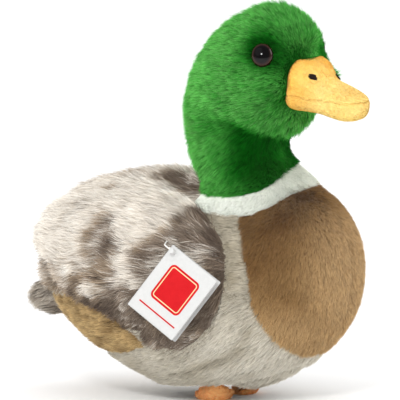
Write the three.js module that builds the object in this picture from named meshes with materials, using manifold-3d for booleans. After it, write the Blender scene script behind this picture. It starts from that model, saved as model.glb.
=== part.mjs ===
// A plush mallard drake that sits on its belly and its two feet, in millimetres, +Z up.
// The bill points along +X and the duck's left is +Y. The origin is the middle of the
// flat on the belly that rests on the floor.
import * as THREE from 'three';
import { mergeVertices } from 'three/addons/utils/BufferGeometryUtils.js';
import Module from 'manifold-3d';

const wasm = await Module();
wasm.setup();

// Body
const bodyLength = 198;
const bodyHeight = 131;
const bodyWidth = 131;
const breastReach = 94;
const seatDepth = 1.5;
const bodyPile = 5;
const bellyLength = 128;
const bellyWidth = 54;
const backLength = 132;
const backOverhang = 11;
const backWidth = 84;

// Head and neck in one cover, with heights from the top of the body
const neckSink = 35;
const headRise = 101;
const headLength = 80.4;
const headWidth = 80;
const headSet = 33;
const headPile = 4.5;
const neckFillRise = 21;

// Collar round the foot of the neck
const collarProud = 1.2;
const collarDrop = 19.5;
const collarRise = 25;

// Bill, whose two halves meet at a lip that falls towards the tip
const billProud = 34.3;
const billLength = 43;
const billWidth = 40;
const lipBelowCrown = 51.1;
const lipFall = 5.9;
const upperBillDepth = 20.6;
const lowerBillDepth = 11.4;

// Eyes, each a domed eye on a stem that a washer holds inside the cover
const eyeDiameter = 12.5;
const eyeDome = 4.8;
const eyeBelowCrown = 28;
const stemDiameter = 3;
const stemEnd = 1;
const washerDiameter = 13;
const washerThickness = 1.6;
const washerSink = 2.3;

// Wings and tail
const wingBulge = 8;
const wingDepth = 7;
const rimSink = 1.2;
const tailLength = 46;
const tailWidth = 46;
const tailDepth = 26;
const tailProud = 14;
const tailDrop = 78;

// Feet
const footLength = 26;
const footWidth = 25;
const footThickness = 10.5;
const footSpacing = 28;
const soleDepth = 1.6;
const heelSetback = 3;
const footSplay = 8;

// Hang tag, a folded card, and its nylon thread
const tagWidth = 36;
const tagHeight = 43;
const cardThickness = 0.5;
const foldGap = 0.4;
const holeDiameter = 3;
const holeFromFold = 3.75;
const holeFromTop = 3;
const tagClear = 2.7;
const tagForward = 8;
const tagDrop = 1.2;
const tagTurn = 15;
const tagTilt = 12;
const tagLean = 35.5;
const tagAjar = 8;
const threadDiameter = 0.8;
const threadLead = 14;
const threadLean = 3;
const threadRise = 1;
const ringSweep = 300;

// Clearance between pieces that touch, and what every cut overruns by
const gap = 0.3;
const overrun = 30;

// How fine the curved forms are
const bodyRings = 30;
const bodySides = 24;
const headRings = 20;
const headSides = 22;
const insideRings = 15;
const insideSides = 16;
const billRings = 14;
const billSides = 16;
const headSquare = 2.4;
const billSquare = 3.2;
const ridgeSquare = 2;
const tailRings = 8;
const footRings = 8;
const wingSteps = 26;
const wingRings = 5;
const outlineSteps = 26;
const tableSteps = 400;
const eyeSides = 16;
const domeRings = 6;
const holeSteps = 8;
const threadSides = 6;
const threadSteps = 18;
const homingSteps = 40;

// The body from the rump to the breast: the share of its length, of its height at the
// underside and at the top, and of its half width.
const bodyShares = [
  [0, 0.608, 0.608, 0], [0.008, 0.509, 0.702, 0.214], [0.033, 0.434, 0.789, 0.427],
  [0.081, 0.336, 0.864, 0.611], [0.146, 0.24, 0.921, 0.763], [0.263, 0.134, 0.97, 0.908],
  [0.389, 0.049, 0.996, 0.985], [0.48, 0.004, 0.985, 1], [0.556, 0, 0.961, 1],
  [0.636, 0.031, 0.934, 0.989], [0.742, 0.087, 0.932, 0.924], [0.828, 0.155, 0.949, 0.802],
  [0.904, 0.245, 0.904, 0.626], [0.96, 0.343, 0.823, 0.42], [0.99, 0.442, 0.736, 0.237],
  [1, 0.585, 0.585, 0],
];

// The neck and head from the root up: the share of the height, of the head's set forward,
// of its half length and of its half width.
const headShares = [
  [0, 0.727, 0, 0], [0.011, 0.727, 0.498, 0.45], [0.044, 0.758, 0.821, 0.775],
  [0.103, 0.818, 0.945, 0.9], [0.162, 0.833, 0.92, 0.875], [0.221, 0.752, 0.846, 0.8],
  [0.265, 0.673, 0.784, 0.762], [0.324, 0.545, 0.746, 0.735], [0.368, 0.494, 0.721, 0.725],
  [0.408, 0.509, 0.741, 0.75], [0.449, 0.612, 0.831, 0.83], [0.507, 0.736, 0.935, 0.925],
  [0.574, 0.833, 0.998, 0.988], [0.647, 0.894, 0.983, 1], [0.713, 0.924, 0.933, 0.97],
  [0.779, 0.988, 0.871, 0.9], [0.846, 1.055, 0.784, 0.79], [0.912, 1.097, 0.612, 0.61],
  [0.956, 1.109, 0.418, 0.41], [0.988, 1.115, 0.199, 0.2], [1, 1.115, 0, 0],
];

// The two halves of the bill from the root to the tip: the share of the length, of the
// depth from the lip and of the half width.
const upperBillShares = [
  [0, 0, 0], [0.035, 1, 0.87], [0.14, 0.99, 1], [0.209, 0.93, 1],
  [0.267, 0.77, 1], [0.349, 0.61, 0.985], [0.465, 0.5, 0.95], [0.605, 0.36, 0.915],
  [0.744, 0.235, 0.905], [0.884, 0.14, 0.8], [0.965, 0.09, 0.475], [1, 0, 0],
];
const lowerBillShares = [
  [0, 0, 0], [0.035, 0.772, 0.87], [0.14, 0.825, 1], [0.233, 0.816, 1],
  [0.349, 0.825, 0.985], [0.465, 0.877, 0.945], [0.605, 0.965, 0.915], [0.767, 1, 0.915],
  [0.884, 0.877, 0.79], [0.965, 0.57, 0.475], [1, 0, 0],
];
const tailShares = [
  [0, 0.5, 0.5, 0], [0.04, 0.31, 0.69, 0.42], [0.14, 0.13, 0.87, 0.74],
  [0.32, 0.02, 0.98, 0.96], [0.5, 0, 1, 1], [0.7, 0.04, 0.96, 0.9],
  [0.88, 0.16, 0.84, 0.62], [1, 0.5, 0.5, 0],
];

// Rear edge of the breast panel, down from the collar: shares of the breast's reach and
// of the body's height.
const breastShares = [
  [0.46, 1.2], [0.48, 0.86], [0.555, 0.71], [0.6, 0.595], [0.612, 0.48], [0.634, 0.405],
  [0.676, 0.328], [0.734, 0.25], [0.81, 0.212], [1.3, 0.18],
];

// Outline of the rump panel seen from the side: shares of the rump's reach and the height.
const rumpShares = [
  [-0.84, 0.44], [-0.68, 0.435], [-0.47, 0.378], [-0.24, 0.315], [-0.16, 0.25],
  [-0.3, 0.205], [-0.45, 0.19], [-0.62, 0.17], [-0.78, 0.2], [-0.95, 0.3], [-0.97, 0.4],
];

// How far the collar's lower and upper edges have risen, from the back of the neck to the
// front: shares of the head's length and of the rise.
const collarShares = [
  [-0.721, 0.02, 0.48], [-0.367, 0, 0.452], [-0.224, -0.008, 0.412], [-0.062, 0, 0.42],
  [0.062, 0.028, 0.476], [0.162, 0.076, 0.556], [0.231, 0.132, 0.68], [0.274, 0.188, 0.92],
  [0.336, 0.34, 1.38], [0.41, 0.7, 1.94], [0.56, 1.54, 2.94],
];

// How far forward of the middle of the head the eyes sit, as a share of its half length,
// and how much of the bill's width the lip takes up inside the head.
const eyeShare = 0.513;
const lipShare = 0.8;

// Where along the upper bill its square root has turned into a rounded ridge.
const ridgeShares = [0.18, 0.32];

// A foot from the heel to the toes, with shares as for the body.
const footShares = [
  [0, 0.5, 0.5, 0], [0.05, 0.25, 0.75, 0.36], [0.22, 0.06, 0.94, 0.68], [0.48, 0, 1, 0.92],
  [0.75, 0, 1, 1], [0.93, 0.14, 0.86, 0.74], [1, 0.5, 0.5, 0],
];

// Outline of a wing round the body, its middle, and the place where the tag's thread is
// sewn on: how far rearward of the side and above the middle, in shares of a right angle.
const wingShares = [
  [-0.433, 0.133], [-0.411, -0.033], [-0.333, -0.133], [-0.222, -0.189], [0, -0.228],
  [0.222, -0.233], [0.444, -0.167], [0.622, -0.056], [0.778, 0.044], [0.889, 0.1], [0.956, 0.167],
  [0.956, 0.256], [0.889, 0.322], [0.711, 0.411], [0.467, 0.511], [0.111, 0.667], [-0.111, 0.644],
  [-0.267, 0.556], [-0.367, 0.422], [-0.422, 0.278],
];
const wingMiddleShare = [0.222, 0.222];
const threadShare = [-0.074, 0.33];

const degrees = Math.PI / 180;
const rightAngle = Math.PI / 2;
const bodyRear = breastReach - bodyLength;
const neckRoot = bodyHeight - neckSink;
const neckFillTop = bodyHeight + neckFillRise;
const headTop = bodyHeight + headRise;
const lipHeight = headTop - lipBelowCrown;
const eyeHeight = headTop - eyeBelowCrown;
const collarSide = bodyHeight - collarDrop;
const tailHeight = bodyHeight - tailDrop;

// Stations of a form that lies along X.
function lying(shares, from, length, low, depth, width) {
  return shares.map(([x, bottom, top, side]) => ({
    at: from + length * x,
    off: 0,
    mid: low + depth * (bottom + top) / 2,
    half: depth * (top - bottom) / 2,
    side: width / 2 * side,
  }));
}

// Stations of a form that stands along Z.
function standing(shares, from, height, set, length, width) {
  return shares.map(([z, forward, half, side]) => ({
    at: from + height * z,
    off: 0,
    mid: set * forward,
    half: length / 2 * half,
    side: width / 2 * side,
  }));
}

// The form grown by a distance all round its middle; a negative distance shrinks it.
function grown(stations, by) {
  const ends = stations.map((s) => s.at);
  const middle = (Math.min(...ends) + Math.max(...ends)) / 2;
  const reach = Math.max(...ends) - middle;
  const half = Math.max(...stations.map((s) => s.half));
  const side = Math.max(...stations.map((s) => s.side));
  const widest = stations.find((s) => s.half === half);
  return stations.map((s) => ({
    at: middle + (s.at - middle) * (reach + by) / reach,
    off: 0,
    mid: widest.mid + (s.mid - widest.mid) * (half + by) / half,
    half: s.half * (half + by) / half,
    side: s.side * (side + by) / side,
  }));
}

// A smooth run through the stations, as a function of the share from the first to the last.
function run(stations) {
  const middle = new THREE.CatmullRomCurve3(
    stations.map((s) => new THREE.Vector3(s.at, s.off, s.mid)), false, 'catmullrom');
  const halves = new THREE.CatmullRomCurve3(
    stations.map((s) => new THREE.Vector3(s.at, s.half, s.side)), false, 'catmullrom');
  return (share) => {
    const c = middle.getPoint(share);
    const h = halves.getPoint(share);
    return { at: c.x, mid: c.z, half: h.y, side: h.z };
  };
}

// The closed surface round a run of rings, with a pole at each end. upright stands the
// form along Z; otherwise it lies along X. A square over 2 fills the corners of the rings,
// and it may be given for each share of the way along.
function form(stations, rings, sides, upright, square = 2) {
  const along = run(stations);
  const squareAt = typeof square === 'function' ? square : () => square;
  const points = [];
  for (let i = 0; i <= rings; i++) {
    const s = along(i / rings);
    const count = i === 0 || i === rings ? 1 : sides;
    for (let j = 0; j < count; j++) {
      const angle = j / sides * 2 * Math.PI;
      const half = count === 1 ? 0 : s.half;
      const side = count === 1 ? 0 : s.side;
      const [c, d] = [Math.cos(angle), Math.sin(angle)].map(
        (v) => Math.sign(v) * Math.abs(v) ** (2 / squareAt(i / rings)));
      if (upright) points.push(s.mid + half * c, side * d, s.at);
      else points.push(s.at, side * c, s.mid + half * d);
    }
  }
  const last = 1 + (rings - 1) * sides;
  const index = (i, j) => (i === 0 ? 0 : i === rings ? last : 1 + (i - 1) * sides + j % sides);
  const faces = [];
  for (let j = 0; j < sides; j++) {
    faces.push(0, index(1, j + 1), index(1, j));
    for (let i = 1; i < rings - 1; i++) {
      faces.push(index(i, j), index(i, j + 1), index(i + 1, j));
      faces.push(index(i, j + 1), index(i + 1, j + 1), index(i + 1, j));
    }
    faces.push(index(rings - 1, j), index(rings - 1, j + 1), last);
  }
  const geometry = new THREE.BufferGeometry();
  geometry.setAttribute('position', new THREE.Float32BufferAttribute(points, 3));
  geometry.setIndex(faces);
  return geometry;
}

// A closed geometry as a solid that can be cut and joined.
function solid(geometry) {
  geometry.deleteAttribute('normal');
  geometry.deleteAttribute('uv');
  const merged = mergeVertices(geometry);
  return new wasm.Manifold(new wasm.Mesh({
    numProp: 3,
    vertProperties: merged.attributes.position.array,
    triVerts: new Uint32Array(merged.index.array),
  }));
}

function box(x, y, z) {
  const geometry = new THREE.BoxGeometry(x[1] - x[0], y[1] - y[0], z[1] - z[0]);
  geometry.translate((x[0] + x[1]) / 2, (y[0] + y[1]) / 2, (z[0] + z[1]) / 2);
  return solid(geometry);
}

// A smooth closed outline through points, moved outwards by a distance.
function outline(points, by, steps) {
  const curve = new THREE.CatmullRomCurve3(
    points.map(([x, y]) => new THREE.Vector3(x, y, 0)), true, 'catmullrom');
  const turn = Math.sign(THREE.ShapeUtils.area(points.map(([x, y]) => ({ x, y }))));
  const out = [];
  for (let i = 0; i < steps; i++) {
    const p = curve.getPoint(i / steps);
    const t = curve.getTangent(i / steps);
    out.push(new THREE.Vector2(p.x + t.y * by * turn, p.y - t.x * by * turn));
  }
  return out;
}

// A cutter with an outline in the side view, as wide as the whole duck.
function sideCut(points) {
  const width = bodyWidth + 2 * overrun;
  const geometry = new THREE.ExtrudeGeometry(new THREE.Shape(points),
    { depth: width, bevelEnabled: false });
  geometry.rotateX(Math.PI / 2).translate(0, width / 2, 0);
  return solid(geometry);
}

// A cutter with an outline in plan between two heights.
function planCut(points, from, to) {
  const geometry = new THREE.ExtrudeGeometry(new THREE.Shape(points),
    { depth: to - from, bevelEnabled: false });
  return solid(geometry.translate(0, 0, from));
}

function oval(length, width, middle, by) {
  return new THREE.EllipseCurve(middle, 0, length / 2 + by, width / 2 + by)
    .getPoints(outlineSteps).slice(0, -1);
}

const floor = box([bodyRear - overrun, breastReach + overrun],
  [-bodyWidth / 2 - overrun, bodyWidth / 2 + overrun], [-overrun, 0]);
const leftHalf = box([bodyRear - overrun, breastReach + overrun],
  [gap / 2, bodyWidth / 2 + overrun], [-overrun, headTop + overrun]);
const rightHalf = box([bodyRear - overrun, breastReach + overrun],
  [-bodyWidth / 2 - overrun, -gap / 2], [-overrun, headTop + overrun]);

// Body and neck forms
const bodyStations = lying(bodyShares, bodyRear, bodyLength, -seatDepth,
  bodyHeight + seatDepth, bodyWidth);
const headStations = standing(headShares, neckRoot, headTop - neckRoot, headSet,
  headLength, headWidth);
const body = (by) => solid(form(grown(bodyStations, by), bodyRings, bodySides, false));
const bodyInside = (by) => solid(
  form(grown(bodyStations, by - bodyPile), insideRings, insideSides, false));
const head = (by) => solid(
  form(grown(headStations, by), headRings, headSides, true, headSquare));
const headInside = (by) => solid(
  form(grown(headStations, by - headPile), headRings, insideSides, true, headSquare));
const bodyOuter = body(0).subtract(floor);
const headOuter = head(0);

// The surface of a form at a height or a length, from a fine table of its run
function section(stations) {
  const along = run(stations);
  const table = Array.from({ length: tableSteps + 1 }, (_, i) => along(i / tableSteps));
  return (at) => {
    const i = table.findIndex((s) => s.at >= at);
    if (i < 1) return i === 0 ? table[0] : table[tableSteps];
    const [a, b] = [table[i - 1], table[i]];
    const share = (at - a.at) / (b.at - a.at);
    const mix = (key) => a[key] + (b[key] - a[key]) * share;
    return { mid: mix('mid'), half: mix('half'), side: mix('side') };
  };
}
const headAt = section(headStations);
const bodyAt = section(bodyStations);
const headDepth = (p) => {
  const s = headAt(p.z);
  return Math.abs((p.x - s.mid) / s.half) ** headSquare
    + Math.abs(p.y / s.side) ** headSquare;
};
const bodyDepth = (p) => {
  const s = bodyAt(p.x);
  return Math.max(((p.z - s.mid) / Math.max(s.half, gap)) ** 2
    + (p.y / Math.max(s.side, gap)) ** 2, 0);
};
function outward(depth, p) {
  const step = gap / 3;
  const slope = ['x', 'y', 'z'].map((axis) => {
    const ahead = p.clone();
    const behind = p.clone();
    ahead[axis] += step;
    behind[axis] -= step;
    return depth(ahead) - depth(behind);
  });
  return new THREE.Vector3(...slope).normalize();
}

// Collar: a band of short plush round the foot of the neck, higher at the front
function collarEdge(edge, up) {
  return new THREE.SplineCurve(collarShares.map((shares) => new THREE.Vector2(
    headSet + headLength * shares[0], collarSide + collarRise * shares[edge] + up)))
    .getPoints(outlineSteps);
}
const bandCut = sideCut([...collarEdge(1, 0), ...collarEdge(2, 0).reverse()]);
const ceiling = [new THREE.Vector2(breastReach + overrun, headTop + overrun),
  new THREE.Vector2(bodyRear, headTop + overrun)];
const aboveBand = sideCut([...collarEdge(2, gap), ...ceiling]);
const pocket = head(collarProud + gap).intersect(
  sideCut([...collarEdge(1, -gap), ...ceiling]));
const collar = head(collarProud).subtract(headInside(0)).intersect(bandCut);

// Body cover, cut into its panels
const shell = bodyOuter.subtract(bodyInside(0)).subtract(pocket);
const breastCut = (by) => {
  const edge = new THREE.SplineCurve(breastShares.map(([x, z]) => new THREE.Vector2(
    breastReach * x - by, bodyHeight * z))).getPoints(outlineSteps / 2);
  return sideCut([...edge, new THREE.Vector2(breastReach + overrun, bodyHeight + overrun)]);
};
const rumpCut = (by) => sideCut(outline(
  rumpShares.map(([x, z]) => [-bodyRear * x, bodyHeight * z]), by, outlineSteps));
const bellyCut = (by) => planCut(oval(bellyLength, bellyWidth, 0, by),
  -overrun, bodyHeight / 2);
const backMiddle = bodyRear - backOverhang + backLength / 2;
const backCut = (by) => planCut(oval(backLength, backWidth, backMiddle, by),
  bodyHeight / 2 - by, bodyHeight + overrun);
const breast = shell.intersect(breastCut(0));
const belly = shell.intersect(bellyCut(0)).subtract(breastCut(gap));
const rump = shell.intersect(rumpCut(0)).subtract(bellyCut(gap));
const back = shell.intersect(backCut(0)).subtract(breastCut(gap));
const sides = shell.subtract(breastCut(gap)).subtract(bellyCut(gap))
  .subtract(rumpCut(gap)).subtract(backCut(gap));

// Bill: two stuffed halves of soft plush whose roots sit in the front of the head. Each
// is a form round the lip line, cut away on the other side of it.
const headFront = headAt(lipHeight).mid + headAt(lipHeight).half;
const billReach = headFront + billProud;
const billStations = (shares, depth) => shares.map(([x, half, side]) => ({
  at: billReach - billLength * (1 - x),
  off: 0,
  mid: lipHeight - lipFall * x,
  half: depth * half,
  side: billWidth / 2 * side,
}));
const upperStations = billStations(upperBillShares, upperBillDepth);
const lowerStations = billStations(lowerBillShares, lowerBillDepth);
const upperSquare = (share) => {
  const turned = THREE.MathUtils.smoothstep(share, ...ridgeShares);
  return billSquare + (ridgeSquare - billSquare) * turned;
};
const billForm = (stations, by, square) => solid(
  form(grown(stations, by), billRings, billSides, false, square));
const lipLine = (up) => [new THREE.Vector2(billReach - 2 * billLength, lipHeight + lipFall + up),
  new THREE.Vector2(billReach + billLength, lipHeight - 2 * lipFall + up)];
const underLip = sideCut([new THREE.Vector2(billReach - 2 * billLength, 0),
  new THREE.Vector2(billReach + billLength, 0), ...lipLine(0).reverse()]);
const overLip = sideCut([...lipLine(-gap), new THREE.Vector2(billReach + billLength, 2 * headTop),
  new THREE.Vector2(billReach - 2 * billLength, 2 * headTop)]);
const upperBill = billForm(upperStations, 0, upperSquare).subtract(underLip);
const lowerBill = billForm(lowerStations, 0, billSquare).subtract(overLip);
const billPocket = billForm(upperStations, gap, upperSquare).subtract(underLip)
  .add(billForm(lowerStations, gap, billSquare).subtract(overLip))
  .add(box([billReach - billLength - gap, billReach],
    [-billWidth * lipShare / 2, billWidth * lipShare / 2], [lipHeight - lipFall - gap, lipHeight + gap]));

// Eyes
const eyeSection = headAt(eyeHeight);
const eyeReach = eyeSection.mid + eyeSection.half * eyeShare;
const eyeSide = eyeSection.side * (1 - eyeShare ** headSquare) ** (1 / headSquare);
const stemLength = headPile + washerSink + washerThickness + stemEnd;
function lathed(points, sides) {
  return new THREE.LatheGeometry(points.map(([r, y]) => new THREE.Vector2(r, y)), sides);
}
function domed(by) {
  const dome = [];
  for (let i = 0; i <= domeRings; i++) {
    const angle = i / domeRings * rightAngle;
    dome.push([(eyeDiameter / 2 + by) * Math.cos(angle), (eyeDome + by) * Math.sin(angle)]);
  }
  dome[domeRings][0] = 0;
  return lathed([[0, -stemLength - by], [stemDiameter / 2 + by, -stemLength - by],
    [stemDiameter / 2 + by, -by], ...dome], eyeSides);
}
const washerFront = -headPile - washerSink;
const washerBore = stemDiameter / 2 + gap;
function washer() {
  const back = washerFront - washerThickness;
  return lathed([[washerBore, washerFront], [washerBore, back], [washerDiameter / 2, back],
    [washerDiameter / 2, washerFront], [washerBore, washerFront]], eyeSides);
}
function washerPocket() {
  const back = washerFront - washerThickness - gap;
  const side = washerDiameter / 2 + gap;
  return lathed([[0, back], [side, back], [side, 0], [0, 0]], eyeSides);
}
function onHead(geometry, side) {
  const place = new THREE.Vector3(eyeReach, side * eyeSide, eyeHeight);
  const normal = outward(headDepth, place);
  geometry.applyQuaternion(new THREE.Quaternion().setFromUnitVectors(
    new THREE.Vector3(0, 1, 0), normal));
  return solid(geometry.translate(place.x, place.y, place.z));
}

// Head cover in two halves, and the filling of the body, neck and head
const cover = headOuter.subtract(headInside(0)).intersect(aboveBand).subtract(billPocket)
  .subtract(onHead(domed(gap), 1)).subtract(onHead(domed(gap), -1));
const stuffing = headInside(-gap).subtract(billPocket);
const headFilling = stuffing.intersect(box([bodyRear, breastReach], [-headWidth, headWidth],
  [neckFillTop + gap, headTop]))
  .subtract(onHead(domed(gap), 1)).subtract(onHead(domed(gap), -1))
  .subtract(onHead(washerPocket(), 1)).subtract(onHead(washerPocket(), -1));
const wallBelow = body(gap).subtract(bodyInside(-gap)).intersect(
  sideCut([...collarEdge(1, 0), new THREE.Vector2(breastReach + overrun, 0),
    new THREE.Vector2(bodyRear, 0)]));
const neckFilling = stuffing.intersect(box([bodyRear, breastReach], [-headWidth, headWidth],
  [0, neckFillTop])).subtract(wallBelow);
const bodyFilling = bodyInside(-gap).subtract(pocket).subtract(headInside(0));

// Wings: padded pieces of long-pile plush that lie round the flanks
function wingPoint(side, back, up) {
  const direction = new THREE.Vector3(-Math.sin(back) * Math.cos(up),
    side * Math.cos(back) * Math.cos(up), Math.sin(up));
  const start = new THREE.Vector3(0, 0, bodyHeight / 2);
  let [inside, outside] = [0, bodyLength];
  for (let i = 0; i < homingSteps; i++) {
    const reach = (inside + outside) / 2;
    const p = start.clone().addScaledVector(direction, reach);
    if (p.x > bodyRear && p.x < breastReach && bodyDepth(p) < 1) inside = reach;
    else outside = reach;
  }
  return start.addScaledVector(direction, inside);
}
function wingForm(side, by) {
  const rim = outline(wingShares, 0, wingSteps);
  const points = [];
  const put = (share, step, bulge) => {
    const back = wingMiddleShare[0] + (rim[step].x - wingMiddleShare[0]) * share;
    const up = wingMiddleShare[1] + (rim[step].y - wingMiddleShare[1]) * share;
    const p = wingPoint(side, back * rightAngle, up * rightAngle);
    const thick = bulge * Math.sqrt(1 - share ** 3) - rimSink * share ** 2;
    p.addScaledVector(outward(bodyDepth, p), thick);
    points.push(p.x, p.y, p.z);
  };
  put(0, 0, wingBulge + by);
  for (let i = 1; i < wingRings; i++) {
    for (let j = 0; j < wingSteps; j++) put(i / wingRings, j, wingBulge + by);
  }
  for (let j = 0; j < wingSteps; j++) put(1, j, 0);
  for (let i = wingRings - 1; i > 0; i--) {
    for (let j = 0; j < wingSteps; j++) put(i / wingRings, j, -wingDepth);
  }
  put(0, 0, -wingDepth);
  const last = 1 + (2 * wingRings - 1) * wingSteps;
  const index = (i, j) => 1 + (i - 1) * wingSteps + j % wingSteps;
  const faces = [];
  for (let j = 0; j < wingSteps; j++) {
    faces.push(0, index(1, j + 1), index(1, j));
    for (let i = 1; i < 2 * wingRings - 1; i++) {
      faces.push(index(i, j), index(i, j + 1), index(i + 1, j));
      faces.push(index(i, j + 1), index(i + 1, j + 1), index(i + 1, j));
    }
    faces.push(index(2 * wingRings - 1, j), index(2 * wingRings - 1, j + 1), last);
  }
  if (side > 0) faces.reverse();
  const geometry = new THREE.BufferGeometry();
  geometry.setAttribute('position', new THREE.Float32BufferAttribute(points, 3));
  geometry.setIndex(faces);
  return geometry;
}
const bodyClear = body(gap);
const wing = (side) => solid(wingForm(side, 0)).subtract(bodyClear).subtract(pocket);

// Tail: a stuffed lobe below the wing tips
const tailStations = lying(tailShares, bodyRear - tailProud, tailLength, tailHeight - tailDepth / 2,
  tailDepth, tailWidth);
const tail = solid(form(tailStations, tailRings, billSides, false))
  .subtract(bodyClear);

// Feet: stuffed soles, flat below, whose tops are tucked under the belly
function foot(side) {
  const stations = lying(footShares, -heelSetback, footLength, -soleDepth,
    footThickness + soleDepth, footWidth);
  const geometry = form(stations, footRings, billSides, false);
  geometry.rotateZ(side * footSplay * degrees).translate(0, side * footSpacing / 2, 0);
  return solid(geometry).subtract(bodyClear).subtract(floor);
}

// Hang tag: it leans on the widest part of the wing. The fold runs down its upper left
// edge, and the thread's ring goes round the fold and through the hole in both leaves, so
// the front leaf can turn on it.
const threadHome = wingPoint(-1, threadShare[0] * rightAngle, threadShare[1] * rightAngle);
const tagFrame = new THREE.Matrix4().makeRotationZ(tagTurn * degrees)
  .multiply(new THREE.Matrix4().makeRotationX(rightAngle - tagTilt * degrees))
  .multiply(new THREE.Matrix4().makeRotationZ(-tagLean * degrees))
  .setPosition(threadHome.x + tagForward,
    (threadHome.z - tagDrop - bodyHeight / 2) * Math.tan(tagTilt * degrees)
    - bodyWidth / 2 - wingBulge - tagClear, threadHome.z - tagDrop);
function leaf() {
  const shape = new THREE.Shape([[gap, 0], [tagWidth, 0], [tagWidth, -tagHeight],
    [gap, -tagHeight]].map(([x, y]) => new THREE.Vector2(x, y)));
  shape.holes.push(new THREE.Path().absarc(holeFromFold, -holeFromTop, holeDiameter / 2,
    0, 2 * Math.PI));
  return new THREE.ExtrudeGeometry(shape,
    { depth: cardThickness, bevelEnabled: false, curveSegments: holeSteps });
}
const frontLeaf = leaf().translate(0, 0, foldGap / 2).rotateY(-tagAjar * degrees)
  .applyMatrix4(tagFrame);
const backLeaf = leaf().translate(0, 0, -foldGap / 2 - cardThickness).applyMatrix4(tagFrame);

// Thread from the wing's seam to the fold, then once round through the hole
const ring = [];
for (let i = 0; i <= threadSteps; i++) {
  const angle = Math.PI - i / threadSteps * ringSweep * degrees;
  ring.push(new THREE.Vector3(holeFromFold * Math.cos(angle), -holeFromTop,
    holeFromFold * Math.sin(angle)));
}
const threadPath = new THREE.CatmullRomCurve3([
  new THREE.Vector3(-holeFromFold - threadLean, -threadRise, -threadLead),
  new THREE.Vector3(-holeFromFold - threadLean / 2, -holeFromTop / 2, -threadLead / 3),
  ...ring]);
const threadShape = new THREE.Shape(new THREE.EllipseCurve(0, 0, threadDiameter / 2,
  threadDiameter / 2).getPoints(threadSides).slice(0, -1));
const thread = solid(new THREE.ExtrudeGeometry(threadShape,
  { steps: 2 * threadSteps, extrudePath: threadPath, bevelEnabled: false })
  .applyMatrix4(tagFrame)).subtract(solid(wingForm(-1, gap)));

// Materials
const plush = (color) => new THREE.MeshStandardMaterial({ color, roughness: 0.95 });
const green = 0x3c9b38;
const brown = 0x9b7a50;
const beige = 0xb7af99;
const mottled = 0xd5cdc2;
const grey = 0xa1968a;
const gold = 0xa88e66;
const white = 0xd9decf;
const yellow = 0xf5d26c;
const orange = 0xe49c66;
const stuffingWhite = 0xeeeeea;

const duck = new THREE.Group();
function add(name, geometry, material) {
  const mesh = new THREE.Mesh(geometry, material);
  mesh.name = name;
  duck.add(mesh);
}
function addSolid(name, made, material) {
  const { vertProperties, triVerts } = made.getMesh();
  const geometry = new THREE.BufferGeometry();
  geometry.setAttribute('position', new THREE.BufferAttribute(
    Float32Array.from(vertProperties), 3));
  geometry.setIndex(new THREE.BufferAttribute(Uint32Array.from(triVerts), 1));
  geometry.computeVertexNormals();
  add(name, geometry, material);
}

addSolid('body_filling', bodyFilling, plush(stuffingWhite));
addSolid('neck_filling', neckFilling, plush(stuffingWhite));
addSolid('head_filling', headFilling, plush(stuffingWhite));
addSolid('breast_panel_left', breast.intersect(leftHalf), plush(brown));
addSolid('breast_panel_right', breast.intersect(rightHalf), plush(brown));
addSolid('side_panel_left', sides.intersect(leftHalf), plush(beige));
addSolid('side_panel_right', sides.intersect(rightHalf), plush(beige));
addSolid('belly_panel', belly, plush(beige));
addSolid('back_panel', back, plush(mottled));
addSolid('rump_panel_left', rump.intersect(leftHalf), plush(gold));
addSolid('rump_panel_right', rump.intersect(rightHalf), plush(gold));
addSolid('tail', tail, plush(grey));
addSolid('wing_left', wing(1), plush(mottled));
addSolid('wing_right', wing(-1), plush(mottled));
addSolid('collar', collar, plush(white));
addSolid('head_cover_left', cover.intersect(leftHalf), plush(green));
addSolid('head_cover_right', cover.intersect(rightHalf), plush(green));
addSolid('upper_bill', upperBill, plush(yellow));
addSolid('lower_bill', lowerBill, plush(yellow));
for (const [name, side] of [['left', 1], ['right', -1]]) {
  addSolid('eye_' + name, onHead(domed(0), side),
    new THREE.MeshStandardMaterial({ color: 0x140c08, roughness: 0.08 }));
  addSolid('eye_washer_' + name, onHead(washer(), side),
    new THREE.MeshStandardMaterial({ color: 0xf2f2f0, roughness: 0.5 }));
  addSolid('foot_' + name, foot(side), plush(orange));
}
const card = () => new THREE.MeshStandardMaterial({ color: 0xf6f4ee, roughness: 0.6 });
add('tag_front_leaf', frontLeaf, card());
add('tag_back_leaf', backLeaf, card());
addSolid('tag_thread', thread,
  new THREE.MeshStandardMaterial({ color: 0xf4f4f0, roughness: 0.4 }));

export default duck;
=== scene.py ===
import math

import bmesh
import bpy
import numpy as np
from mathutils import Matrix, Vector, bvhtree, kdtree


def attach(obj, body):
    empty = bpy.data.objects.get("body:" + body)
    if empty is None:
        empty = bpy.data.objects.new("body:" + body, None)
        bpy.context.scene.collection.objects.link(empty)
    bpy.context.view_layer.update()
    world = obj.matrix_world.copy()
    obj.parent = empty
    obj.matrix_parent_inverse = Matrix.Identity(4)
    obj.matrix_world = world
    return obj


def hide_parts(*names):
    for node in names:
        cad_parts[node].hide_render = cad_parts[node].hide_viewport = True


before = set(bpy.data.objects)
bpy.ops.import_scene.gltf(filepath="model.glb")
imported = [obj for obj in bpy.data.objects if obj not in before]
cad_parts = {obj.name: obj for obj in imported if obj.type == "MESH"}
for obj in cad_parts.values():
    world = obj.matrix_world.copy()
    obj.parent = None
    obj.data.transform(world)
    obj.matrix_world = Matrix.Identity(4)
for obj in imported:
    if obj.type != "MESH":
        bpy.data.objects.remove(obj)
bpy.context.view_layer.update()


# Camera
# A long lens far off, level with the duck's breast, that looks at its right front. The
# duck stands 0.578 mm to a pixel of a 400 pixel picture.
camera_turn = math.radians(30)
camera_rise = math.radians(6.5)
camera_lens = 1000
sensor_width = 36
picture_width = 0.2312
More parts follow.
